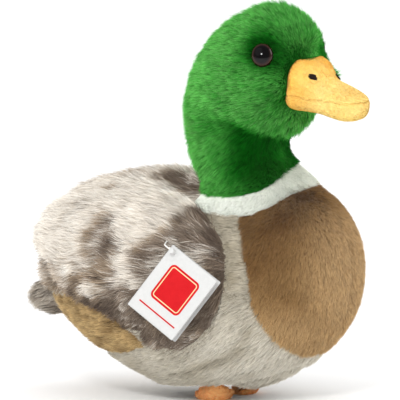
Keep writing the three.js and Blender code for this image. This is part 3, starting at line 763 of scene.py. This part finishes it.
# In mm: the middle of each dark patch, how far it reaches along the hair and across it,
# and how dark it is
dark_patches = [
    (-17, 18, 128, 9, 5, 1.1), (-2, 25, 122, 8, 4, 1.1), (-19, 6, 129, 6, 4, 0.5),
    (-53, 29, 120, 6, 3, 0.85), (-71, 22, 117, 7, 3, 0.5), (-47, 28, 121, 4, 3, 0.6),
    (-72, 5, 121, 10, 3, 0.35), (-76, 40, 109, 4, 5, 0.3), (21, 42, 109, 7, 6, 1.0),
    (32, 48, 101, 5, 6, 1.4), (37, 53, 94, 4, 6, 1.3), (15, 42, 112, 6, 5, 0.7),
    (13, 53, 107, 5, 4, 0.55), (25, 57, 100, 9, 6, 0.62), (16, 60, 98, 5, 4, 0.5),
    (37, 60, 85, 6, 6, 0.8), (40, 61, 75, 5, 6, 0.8), (32, 66, 64, 7, 6, 0.4),
    (23, 65, 51, 7, 5, 0.4), (-8, 69, 88, 9, 4, 0.8), (-2, 66, 93, 7, 3, 0.55),
    (-11, 71, 82, 7, 3, 0.3), (-3, 72, 79, 6, 3, 0.5), (-13, 73, 68, 9, 5, 0.35),
    (-34, 59, 107, 4, 4, 0.6), (-29, 65, 98, 4, 6, 0.5), (-40, 62, 101, 4, 5, 0.4),
    (-44, 63, 97, 4, 3, 0.6), (-39, 68, 88, 6, 5, 0.25), (-47, 67, 85, 5, 4, 0.3),
    (-30, 69, 88, 4, 5, 0.5), (-34, 70, 78, 6, 4, 0.35), (-60, 63, 81, 5, 3, 0.5),
    (-35, 71, 73, 4, 3, 0.75), (-50, 67, 72, 6, 3, 0.5), (-53, 65, 67, 4, 3, 0.6),
    (-58, 61, 62, 4, 3, 0.8), (-47, 65, 59, 4, 3, 0.8), (-39, 66, 56, 5, 3, 0.9),
    (-32, 67, 52, 5, 3, 0.9), (-27, 63, 47, 5, 3, 0.85), (-21, 59, 42, 6, 3, 0.75),
    (-14, 59, 38, 6, 3, 0.5), (9, 51, 110, 6, 5, 0.8), (7, 58, 103, 7, 5, 0.7),
    (2, 64, 97, 6, 5, 0.55), (-27, 67, 94, 4, 5, 0.45), (-27, 69, 87, 4, 5, 0.5),
    (-25, 71, 79, 4, 5, 0.45), (34, 48, 100, 5, 5, 0.8), (-26, 71, 61, 7, 5, 0.4),
    (-7, 72, 59, 9, 6, 0.45), (0, 69, 51, 9, 6, 0.5), (2, 62, 42, 9, 5, 0.45),
]
light_patches = [
    (-12, 51, 115, 22, 11, 1.0), (-51, 27, 121, 14, 6, 0.5), (-30, 35, 119, 14, 6, 0.45),
    (-70, 21, 117, 9, 5, 0.35), (-58, 64, 80, 9, 5, 0.5), (-54, 64, 89, 6, 4, 0.35),
    (-45, 68, 83, 5, 4, 0.3), (-9, 72, 72, 5, 4, 0.4), (-17, 71, 60, 5, 4, 0.35),
    (-49, 58, 103, 5, 4, 0.3), (-62, 61, 68, 5, 4, 0.3), (-12, 62, 103, 13, 6, 0.5),
    (-73, 49, 104, 16, 13, 0.8), (-73, 55, 92, 13, 8, 0.6), (-47, 67, 66, 4, 4, 0.9),
    (-20, 71, 83, 6, 11, 0.5), (-59, 57, 101, 7, 8, 0.3), (-39, 37, 117, 10, 4, 0.5),
]
# How far the left wing's patches lie from their mirrored places
left_shift = np.array([0.011, 0, -0.006])


def mottle(places):
    left = ease(places[:, 1], -0.012, 0.012)[:, None]
    moved = mirrored(places) - left * left_shift
    total = waves(places, 0.05, 41, (2.2, 1, 1)) * 0.14
    total += waves(places, 0.006, 42, (2.5, 1, 1)) * 0.17
    # Darker towards the foot of the wing
    total += ease(-places[:, 2], -0.092, -0.055) * 0.46
    # Painted shade: a dark band across the wing where its rear lobe meets the rest of it
    total += np.exp(-((moved[:, 0] + 0.046) / 0.012) ** 2) * 0.15
    for patches, sign in ((dark_patches, 1), (light_patches, -1)):
        for x, y, z, long, wide, depth in patches:
            far = (moved * 1000 - [x, y, z]) / [long * 1.2, wide * 1.6, wide * 1.2]
            total += sign * depth * bell(far)
    return total


def mottled_colours(root, lock, rng):
    depth = mottle(lock * 0.6 + root * 0.4) + rng.normal(size=len(root)) * 0.14
    warm = ease(waves(root, 0.03, 43) + ease(-root[:, 0], 0.02, 0.05) * 0.8, -0.1, 1.2)
    middle = mixed(smoke, fawn, warm)
    tip = mixed(cream, middle, ease(depth, -0.05, 0.5))
    black = ease(depth, 0.4, 1.25)[:, None]
    tip = tip * (1 - black) + soot * black
    base = mixed(cream_root, smoke_root, ease(depth, 0.0, 0.55))
    return base, tip


def towards_tail(root, up):
    way = np.tile([-1.0, 0, -0.12], (len(root), 1))
    way[:, 2] += waves(root, 0.05, 7) * 0.5 - ease(-root[:, 2], -0.085, -0.05) * 0.5
    way[:, 1] += waves(root, 0.05, 8) * 0.4
    way[:, 2] += waves(root, 0.016, 10) * 0.4
    return way


mottled_plush = plush("mottled_plush")
long_pile = {"clump": 0.0034, "gather": 0.42, "stray": 0.3, "segments": 3,
             "edge": (0.002, 0.9), "uneven": 0.09}
grow("back_plush", "back_panel", 0.8, 3.8, 0.0135, 0.00027, (0.75, 0.2), towards_tail,
     mottled_colours, mottled_plush, 141, **long_pile)


# Wings
# Padded pieces of the same long mottled plush, sewn fast round their rims to the sides.
# The pile of the right one is pressed down where the hang tag rests on it.
card_width, card_height, card_thickness = 0.036, 0.043, 0.0005
fold = Vector((0.014400, -0.069765, 0.095774))
card_right = Vector((0.8176, 0.0941, -0.5680)).normalized()
card_up = Vector((0.5171, 0.3138, 0.7963)).normalized()
card_out = card_right.cross(card_up)
# How far beside the card and how far under it the pile is pressed, how steep a hair
# stands there, and the shortest and the longest one
pressed_beside = 0.004
pressed_under = 0.0015
pressed_lean = 0.55
shortest, longest = 0.003, 0.015


def wing_length(root):
    rear = np.exp(-((root[:, 0] + 0.088) / 0.02) ** 2 - ((root[:, 2] - 0.073) / 0.010) ** 2)
    long = (0.006 + 0.009 * ease(root[:, 2], 0.045, 0.085)) * (1 - 0.55 * rear)
    along, down, under = ((root - np.array(fold)) @ np.array(axis)
                          for axis in (card_right, -card_up, -card_out))
    covered = (ease(along, -pressed_beside, 0) * ease(down, -pressed_beside, 0)
               * ease(-along, -card_width - pressed_beside, -card_width)
               * ease(-down, -card_height - pressed_beside, -card_height))
    room = np.clip((under - pressed_under) / pressed_lean, shortest, longest)
    return long * (1 - covered) + np.minimum(long, room) * covered


grow_pair("wing_plush", "wing", 0.7, 3.35, wing_length, 0.00028, (0.75, 0.2), towards_tail,
          mottled_colours, mottled_plush, seed=151, **long_pile)


# Tail
# A short stuffed lobe of grey plush that points back from under the wing tips.
grey_tip = linear((212, 203, 189))
grey_root = linear((128, 116, 104))
grey_dark = linear((150, 137, 122))


def grey_colours(root, lock, rng):
    share = ease(waves(lock, 0.016, 51), -0.3, 0.9)
    return np.tile(grey_root, (len(root), 1)), mixed(grey_tip, grey_dark, share)


grow("tail_plush", "tail", 0.8, 3.6, 0.012, 0.00036, (0.7, 0.12), towards_tail, grey_colours,
     plush("grey_plush"), 161, clump=0.0034, gather=0.5)


# Collar
# A ring of white plush with a short clipped pile, sewn between the neck and the body.
white_root = linear((230, 235, 224))
white_tip = linear((248, 250, 242))


def white_colours(root, lock, rng):
    share = ease(waves(lock, 0.012, 61), 0, 1.4)
    return np.tile(white_root, (len(root), 1)), mixed(white_tip, white_root, share * 0.5)


def down(root, up):
    return np.tile([-0.4, 0, -1.0], (len(root), 1))


grow("collar_plush", "collar", 0.8, 11.0, 0.0032, 0.00026, (0.8, 0.4), down, white_colours,
     plush("white_plush"), 171, clump=0.0012, gather=0.1, stray=0.08, edge=(0.001, 0.9),
     uneven=0.015)


# Bill
# Two stuffed halves of yellow velour, sewn into the face. Five black stitches on each
# side of the upper one are the nostrils.
velour_voxel = 0.0014
yellow_tip = linear((252, 222, 138))
# A warmer orange: the velour's own tone, and painted shade at its seam
yellow_warm = linear((250, 199, 85))


def yellow_colours(root, lock, rng):
    # Warmer orange towards the root: the velour's own tone, and painted shade where the bill is
    # sewn into the face
    base = ease(-root[:, 0], -0.084, -0.064)
    share = np.clip(base * 0.8 + waves(lock, 0.012, 81) * 0.15, 0, 1)
    tip = mixed(yellow_tip, yellow_warm, share)
    # Painted light: the lower bill's tips are up to a tenth brighter
    tip = tip * (1 + ease(-root[:, 2], -0.172, -0.164)[:, None] * 0.1)
    return tip * 0.98, tip


def bill_comb(root, up):
    return np.tile([1.0, 0, -0.3], (len(root), 1))


def bill_skin(node):
    """The bill's form, wider and squarer at its root, hollow along its ridge and rounder
    at its tip."""
    points, normals, triangles = soft_copy(node, velour_voxel, 3, -0.0006)
    root = ease(-points[:, 0], -0.080, -0.064)
    tip = ease(points[:, 0], 0.086, 0.103)
    lip = 0.172 - (points[:, 0] - 0.064) * 0.14
    above = np.maximum(points[:, 2] - lip, 0)
    corner = np.clip(np.abs(points[:, 1]) / 0.018 * above / 0.025 * 2, 0, 1) * root
    points[:, 1] *= (1 + root * (0.3 - 0.1 * ease(above, 0.002, 0.018))) * (1 - 0.22 * tip)
    points[:, 1] += np.sign(points[:, 1]) * corner * 0.0006
    points[:, 2] += corner * 0.0008
    points[:, 2] -= above * np.interp(points[:, 0], (0.060, 0.070, 0.076, 0.085, 0.096, 0.105),
                                      (0.10, 0.12, 0.15, 0.09, 0.08, 0))
    points[:, 0] -= 0.0028 * tip
    return points, normals, triangles


nap = {"clump": 0.0015, "gather": 0.1, "stray": 0.1, "uneven": 0.02}
nap_fibre = 1600
yellow_velour = plush("yellow_velour", nap_fibre)
for node, seed in (("upper_bill", 191), ("lower_bill", 192)):
    grow(node + "_velour", node, 0.9, 7.0, 0.0012, 0.00038, (0.4, 0.1), bill_comb,
         yellow_colours, yellow_velour, seed, closed=bill_skin(node), **nap)


# Nostril stitches: their middle on the right side, how far off its mirrored place the one
# on the left lies, then each stitch's form and how far each lies from the next
nostril_middle = (0.0722, -0.0122, 0.1895)
far_lower = (-0.0010, 0.0034, -0.0046)
stitch_length = 0.0054
stitch_step = 0.0007
stitch_radius = 0.0005
stitch_sway = 0.0003
stitch_rise, stitch_sag = 0.0007, 0.0022
stitch_count = 5
black_thread = Surface("black_thread")
black_thread.coloured(1800, (0.008, 0.005, 0.004), (0.03, 0.018, 0.012), span=(0.35, 0.7))
black_thread.bumped(3000, 0.5, 0.0002)
black_thread.set("Roughness", 0.6)
black_thread.set("Specular IOR Level", 0.1)
upper_points, upper_normals, _ = bill_skin("upper_bill")
for name, side in (("left", -1), ("right", 1)):
    stitch = primitive(bpy.ops.mesh.primitive_uv_sphere_add, segments=10, ring_count=8,
                       radius=stitch_radius)
    middle = np.array(nostril_middle) * [1, side, 1] + np.array(far_lower) * (side < 0)
    near = np.argmin(((upper_points - middle) ** 2).sum(axis=1))
    up = Vector(upper_normals[near])
    way = Vector((0.62, side * 0.62, 0))
    way = (way - up * way.dot(up)).normalized()
    over = up.cross(way)
    base = read(stitch.data.vertices, "co")
    base[:, 0] += np.sign(base[:, 0]) * (np.abs(base[:, 0]) > 1e-5) * stitch_length / 2
    places = []
    for i in range(stitch_count):
        step = (i - (stitch_count - 1) / 2) * stitch_step
        shorter = 1 - 0.12 * abs(i - (stitch_count - 1) / 2)
        local = base * [shorter, 1, 1] + [stitch_sway * (-1) ** i, step, 0]
        sag = stitch_rise - (local[:, 0] / stitch_length) ** 2 * stitch_sag
        places.append(upper_points[near] + np.outer(local[:, 0], way)
                      + np.outer(local[:, 1], over) + np.outer(local[:, 2] + sag, up))
    faces = [list(p.vertices) for p in stitch.data.polygons]
    count = len(base)
    bpy.data.objects.remove(stitch)
    mesh = bpy.data.meshes.new("nostril_stitches_" + name)
    mesh.from_pydata(np.concatenate(places).tolist(), [],
                     [[v + i * count for v in f] for i in range(stitch_count) for f in faces])
    riding("nostril_stitches_" + name, mesh, black_thread)


# Head and neck
# Emerald plush with a dense pile, cut in two halves that meet in a seam over the crown.
# The hair is combed back from the bill and the brow, then down the neck.
green_pale = linear((160, 226, 140))
green_tip = linear((108, 206, 94))
green_mid = linear((30, 146, 34))
# Deep green for painted shade
green_painted_shade = linear((0, 80, 6))
green_root = linear((2, 80, 10))
# How far round the neck, in degrees, and how high the cheeks' lower edge is
cheek_edge = [(0, 10, 31, 45, 59, 72, 85, 98, 130),
              (0.1555, 0.1560, 0.1580, 0.1605, 0.1640, 0.1670, 0.1710, 0.1750, 0.1850)]


def green_colours(root, lock, rng):
    aside = mirrored(root)
    # Painted shade: darker round the eyes, between the eyes and the bill, and on the neck under
    # the cheeks, fading towards the collar
    near_eye = bell((aside - eye_place - [-0.001, 0, 0.004]) / [0.013, 0.016, 0.013])
    near_bill = bell((aside - [0.060, 0.017, 0.190]) / [0.010, 0.014, 0.018])
    round_neck = np.degrees(np.arctan2(np.abs(root[:, 1]), root[:, 0] - neck_middle))
    cheek_foot = np.interp(round_neck, *cheek_edge)
    below = ease(cheek_foot - root[:, 2], -0.002, 0.006)
    cheek_shadow = np.exp(-((round_neck - 38) / 50) ** 2) * below
    foot = ease(-root[:, 2], -0.142, -0.124) * 0.35
    rim = bell((aside - eye_place) / 0.0088)
    dark = np.clip(near_eye * 0.8 + rim * 0.5 + near_bill * 0.85 + cheek_shadow * (1 - foot), 0, 1)
    # Painted shade towards the front of the head and painted light on the top of the crown, over
    # waves of tone that differs at random
    share = ease(waves(lock, 0.018, 71), -0.6, 1.2) * 0.45 + ease(root[:, 0], 0.0, 0.05) * 0.15
    share = share - ease(root[:, 2], 0.19, 0.215) * ease(-root[:, 0], -0.045, -0.01) * 0.25
    tip = mixed(green_tip, green_mid, np.clip(share + dark, 0, 1))
    tip = mixed(tip, green_painted_shade, ease(dark, 0.3, 1.0) * 0.85)
    tip = mixed(tip, green_pale, (rng.random(len(root)) < 0.2) * 0.45 * (1 - dark) ** 2)
    # Painted shade: the roots are darker under the cheeks and round the eyes
    return green_root * (1 - (cheek_shadow + near_eye)[:, None].clip(0, 1) * 0.5), tip


def back_and_down(root, up):
    way = (root - np.array([0.088, 0.0, 0.182])) * [1, 1.1, 0.8]
    way[:, 2] -= 0.012
    neck = ease(-root[:, 2], -0.165, -0.13)
    way = unit(way) * (1 - neck)[:, None] + np.array([-0.6, 0, -0.9]) * neck[:, None]
    way[:, 2] += waves(root, 0.04, 9) * 0.15
    return way


bill_trees = [bvhtree.BVHTree.FromPolygons(points.tolist(), triangles.tolist())
              for points, _, triangles in map(bill_skin, ("upper_bill", "lower_bill"))]


def clear_of_face(root):
    """No hair grows under the eyes or where the bill is sewn in."""
    clear = np.linalg.norm(mirrored(root) - eye_place, axis=1) > 0.0062
    for tree in bill_trees:
        for i in np.flatnonzero(root[:, 0] > 0.05):
            near, normal, _, _ = tree.find_nearest(Vector(root[i]))
            clear[i] &= (Vector(root[i]) - near).dot(normal) > 0.0003
    return clear.astype(float)


def head_length(root):
    near_eye = bell((mirrored(root) - eye_place) / 0.010)
    from_bill = np.array([bill_finder.find_nearest(Vector(place))[3] for place in root])
    turn = np.degrees(np.arctan2(root[:, 1], root[:, 0] - neck_middle))
    foot = ease(np.interp(turn, *ring_top) - root[:, 2], -0.014, 0)
    return (0.0072 * (1 - 0.5 * near_eye) * (0.3 + 0.7 * ease(from_bill, 0.001, 0.010))
            * (1 - 0.35 * foot))


green_plush = plush("green_plush", sheen=0.13, sheen_tint=(0.25, 1, 0.2), specular=0.04)
grow_pair("head_plush", "head_cover", 0.9, 6.3, head_length, 0.00027, (1.1, 0.35),
          back_and_down, green_colours, green_plush, seed=181, gather=0.28, bare=clear_of_face,
          edge=(0.0015, 0.9), stray=0.17, uneven=0.1)


# Eyes
# Clear domed plastic eyes with a brown iris painted behind a black pupil. Each has a stem
# that goes through the cover into a pressed-on white washer.
eye_way = np.array([0.3987, 0.8696, 0.2912])
eye_radius = 0.00625
eye_height = 1.12
eye_dome = 0.0048
eye_shift = np.array([0.0003, -0.0009, -0.0014])
stem_radius = 0.0015
stem_length = 0.0094
glass = Surface("eye")
share = glass.add("Attribute", attribute_name="from_middle").outputs["Fac"]
mottled = glass.add("Math", {0: glass.noise(700, 3), 1: 0.08, 2: share},
                    operation="MULTIPLY_ADD")
iris = glass.ramp(mottled.outputs[0], [
    (0.70, (0.001, 0.0006, 0.0008)), (0.82, (0.014, 0.005, 0.004)),
    (0.93, (0.035, 0.012, 0.008)), (1.0, (0.008, 0.003, 0.002))])
glass.links.new(iris, glass.inputs["Base Color"])
glass.roughened(500, 0.05, 0.08)
glass.bumped(120, 0.03, 0.0002, 1)
glass.set("Specular IOR Level", 0.24)
for name, side in (("left", 1), ("right", -1)):
    eye = primitive(bpy.ops.mesh.primitive_uv_sphere_add, segments=48, ring_count=32, radius=1)
    eye.name = "glass_eye_" + name
    bpy.ops.object.mode_set(mode="EDIT")
    bpy.ops.mesh.select_all(action="SELECT")
    bpy.ops.mesh.bisect(plane_co=(0, 0, 0), plane_no=(0, 0, 1), clear_inner=True)
    bpy.ops.mesh.select_all(action="SELECT")
    bpy.ops.mesh.region_to_loop()
    bpy.ops.mesh.extrude_edges_move(TRANSFORM_OT_translate={"value": (0, 0, -0.1)})
    bpy.ops.mesh.extrude_edges_move()
    bpy.ops.transform.resize(value=(stem_radius / eye_radius,) * 2 + (1,),
                             center_override=(0, 0, -0.1))
    bpy.ops.mesh.extrude_edges_move(
        TRANSFORM_OT_translate={"value": (0, 0, -stem_length / eye_dome)})
    bpy.ops.mesh.edge_face_add()
    bpy.ops.object.mode_set(mode="OBJECT")
    local = read(eye.data.vertices, "co")
    from_middle = np.hypot(local[:, 0], local[:, 1])
    from_middle[local[:, 2] < -0.05] = 1
    ring = eye.data.attributes.new("from_middle", "FLOAT", "POINT")
    ring.data.foreach_set("value", from_middle.astype(np.float32))
    eye.data.polygons.foreach_set("use_smooth", np.ones(len(eye.data.polygons), bool))
    way = Vector(eye_way * [1, side, 1])
    turn = way.to_track_quat("Z", "Y").to_matrix()
    local = local * [eye_radius, eye_radius * eye_height, eye_dome]
    placed = (np.array([turn @ Vector(v) for v in local])
              + (eye_place + eye_shift) * [1, side, 1])
    eye.data.vertices.foreach_set("co", placed.ravel())
    eye.data.update()
    bpy.ops.object.shade_smooth_by_angle(angle=0.7)
    eye.data.materials.append(glass.material)
    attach(eye, "duck")
    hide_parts("eye_" + name)


def dressed(node, surface):
    """A CAD solid that is shown as it is, in a material of its own."""
    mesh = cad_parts[node].data
    mesh.materials.clear()
    mesh.materials.append(surface.material)


washer_nylon = Surface("washer_nylon")
washer_nylon.coloured(300, (0.78, 0.78, 0.76), (0.88, 0.88, 0.86))
washer_nylon.roughened(500, 0.35, 0.5)
washer_nylon.bumped(1500, 0.2, 0.0002)
dressed("eye_washer_left", washer_nylon)
dressed("eye_washer_right", washer_nylon)


# Feet
# Stuffed soles of orange velour, sewn under the belly.
orange_root = linear((255, 178, 106))
orange_tip = linear((255, 208, 142))


def orange_colours(root, lock, rng):
    share = ease(waves(lock, 0.01, 85), -0.2, 1.2)
    return np.tile(orange_root, (len(root), 1)), mixed(orange_tip, orange_root, share * 0.5)


# How much the filled soles stand over their flat CAD form, and how far behind it they sit
foot_rise = 1.9
foot_back = 0.002
orange_velour = plush("orange_velour", nap_fibre, sheen=0.5, sheen_tint=(1, 0.8, 0.55))
for side, seed in (("_left", 195), ("_right", 196)):
    points, normals, triangles = soft_copy("foot" + side, velour_voxel, 3, 0.0002)
    points = points * [1, 1, foot_rise] - [foot_back, 0, 0]
    grow("foot_velour" + side, "foot" + side, 0.9, 8.0, 0.0016, 0.00032, (0.6, 0.2), bill_comb,
         orange_colours, orange_velour, seed, closed=(points, normals, triangles), **nap)


# Hang tag
# A folded card with a plain printed panel on its front, held by a nylon thread that comes
# out of the wing's seam and goes through a punched hole in both leaves.
hole_from_fold, hole_from_top, hole_radius = 0.00375, 0.003, 0.0015
leaf_open = math.radians(8)
card_corner = 0.0006
card_rounding = 0.00008
fold_gap = 0.0003


def card_material(name, printed):
    card = Surface(name)
    parts = card.add("SeparateXYZ", {0: card.add("UVMap", uv_map="card").outputs["UV"]})

    def reckon(kind, one, two=0):
        return card.add("Math", {0: one, 1: two}, operation=kind).outputs[0]

    def panel(middle, half, corner):
        """How far a point of the card lies outside a rounded panel, in mm."""
        out = []
        for axis in (0, 1):
            off = reckon("SUBTRACT", parts.outputs[axis], middle[axis])
            off = reckon("SUBTRACT", reckon("ABSOLUTE", off), half[axis] - corner)
            off = reckon("MAXIMUM", off)
            out.append(reckon("MULTIPLY", off, off))
        return reckon("SUBTRACT", reckon("SQRT", reckon("ADD", *out)), corner)

    def over(below, ink, far, reach):
        edge = card.add("MapRange", {"From Min": reach, "From Max": -reach, "Value": far})
        return card.add("Mix", {"Factor": edge.outputs[0], 6: below, 7: ink},
                        data_type="RGBA").outputs[2]

    colour = card.speckle(500, (0.55, 0.55, 0.54), (0.59, 0.59, 0.58), 6)
    if printed:
        red = card.speckle(260, (0.50, 0.004, 0.008), (0.56, 0.006, 0.010))
        cream_ink = card.speckle(260, (0.74, 0.60, 0.34), (0.78, 0.64, 0.38))
        block = panel((18.6, -19.5), (11.2, 11.6), 3.2)
        line = reckon("SUBTRACT", reckon("ABSOLUTE", reckon("ADD", block, 1.6)), 0.28)
        rule = panel((18.6, -36.6), (14.0, 0.45), 0.3)
        for ink, far, reach in ((red, block, 0.12), (cream_ink, line, 0.1), (red, rule, 0.12)):
            colour = over(colour, ink, far, reach)
    card.links.new(colour, card.inputs["Base Color"])
    card.roughened(300, 0.32, 0.45)
    card.bumped(2500, 0.15, 0.0001)
    card.set("Specular IOR Level", 0.15)
    return card.material


def leaf(name, low, turn, body, replaced, printed):
    """One leaf of the card, from its fold; turn is how far it stands open."""
    made = primitive(bpy.ops.mesh.primitive_cube_add, size=1)
    made.name = name
    local = read(made.data.vertices, "co")
    local *= [card_width - fold_gap, card_height, card_thickness]
    local += [(card_width + fold_gap) / 2, -card_height / 2, low + card_thickness / 2]
    made.data.vertices.foreach_set("co", local.ravel())
    made.data.update()
    bpy.ops.object.mode_set(mode="EDIT")
    bpy.ops.mesh.select_all(action="DESELECT")
    bpy.ops.object.mode_set(mode="OBJECT")
    for edge in made.data.edges:
        one, two = (made.data.vertices[i].co for i in edge.vertices)
        edge.select = abs(one.z - two.z) > card_thickness / 2
    bpy.ops.object.mode_set(mode="EDIT")
    bpy.ops.mesh.select_mode(type="EDGE")
    bpy.ops.mesh.bevel(offset=card_corner, segments=4)
    bpy.ops.object.mode_set(mode="OBJECT")
    punch = primitive(bpy.ops.mesh.primitive_cylinder_add, vertices=32, radius=hole_radius,
                      depth=0.01, location=(hole_from_fold, -hole_from_top, low))
    apply_modifier(made, "BOOLEAN", object=punch, operation="DIFFERENCE", solver="EXACT")
    bpy.data.objects.remove(punch)
    apply_modifier(made, "BEVEL", width=card_rounding, segments=2, angle_limit=0.6)
    local = read(made.data.vertices, "co")
    layer = made.data.uv_layers.new(name="card")
    corners = read(made.data.loops, "vertex_index", int, 1)[:, 0]
    layer.data.foreach_set("uv", (local[corners, :2] * 1000).ravel().astype(np.float32))
    spun = local.copy()
    spun[:, 0] = local[:, 0] * math.cos(turn) - local[:, 2] * math.sin(turn)
    spun[:, 2] = local[:, 0] * math.sin(turn) + local[:, 2] * math.cos(turn)
    placed = (np.array(fold) + np.outer(spun[:, 0], card_right)
              + np.outer(spun[:, 1], card_up) + np.outer(spun[:, 2], card_out))
    made.data.vertices.foreach_set("co", placed.ravel())
    made.data.update()
    made.data.materials.clear()
    made.data.materials.append(card_material(name, printed))
    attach(made, body)
    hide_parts(replaced)


leaf("front_card", 0.0002, leaf_open, "tag_cover", "tag_front_leaf", True)
leaf("back_card", -0.0007, 0, "tag", "tag_back_leaf", False)

nylon_thread = Surface("nylon_thread")
nylon_thread.coloured(900, (0.80, 0.79, 0.74), (0.92, 0.91, 0.87))
nylon_thread.set("Roughness", 0.35)
nylon_thread.bumped(4000, 0.2, 0.0001)
dressed("tag_thread", nylon_thread)


# Floor and light
# A plain white floor under soft studio lamps.
floor_size = 60
floor = primitive(bpy.ops.mesh.primitive_plane_add, size=floor_size)
floor.name = "floor"
floor_paint = Surface("floor")
floor_paint.set("Base Color", (1, 1, 1, 1))
floor_paint.set("Roughness", 0.9)
floor_paint.set("Specular IOR Level", 0.1)
floor.data.materials.append(floor_paint.material)

world = bpy.data.worlds.new("studio")
world.use_nodes = True
backdrop = world.node_tree.nodes["Background"].inputs
backdrop["Color"].default_value = (1, 1, 1, 1)
# The studio is dimmer where it is mirrored
seen_strength, mirrored_strength = 1.1, 0.35
mirror = world.node_tree.nodes.new("ShaderNodeLightPath").outputs["Is Glossy Ray"]
strength = world.node_tree.nodes.new("ShaderNodeMapRange")
strength.inputs["To Min"].default_value = seen_strength
strength.inputs["To Max"].default_value = mirrored_strength
world.node_tree.links.new(mirror, strength.inputs["Value"])
world.node_tree.links.new(strength.outputs[0], backdrop["Strength"])
bpy.context.scene.world = world
lamp_aim = Vector((0, 0, 0.1))


def lamp(name, place, size, watts):
    data = bpy.data.lights.new(name, "AREA")
    data.shape = "DISK"
    data.size = size
    data.energy = watts
    made = linked(name, data)
    made.location = place
    made.rotation_mode = "QUATERNION"
    made.rotation_quaternion = (Vector(place) - lamp_aim).to_track_quat("Z", "Y")


lamp("key", (0.42, -1.14, 0.80), 0.25, 6.5)
lamp("top", (-0.3, -1.0, 1.1), 1.5, 2)
lamp("rim", (0.9, 0.9, 0.7), 0.8, 4)
bpy.context.scene.view_settings.view_transform = "Standard"
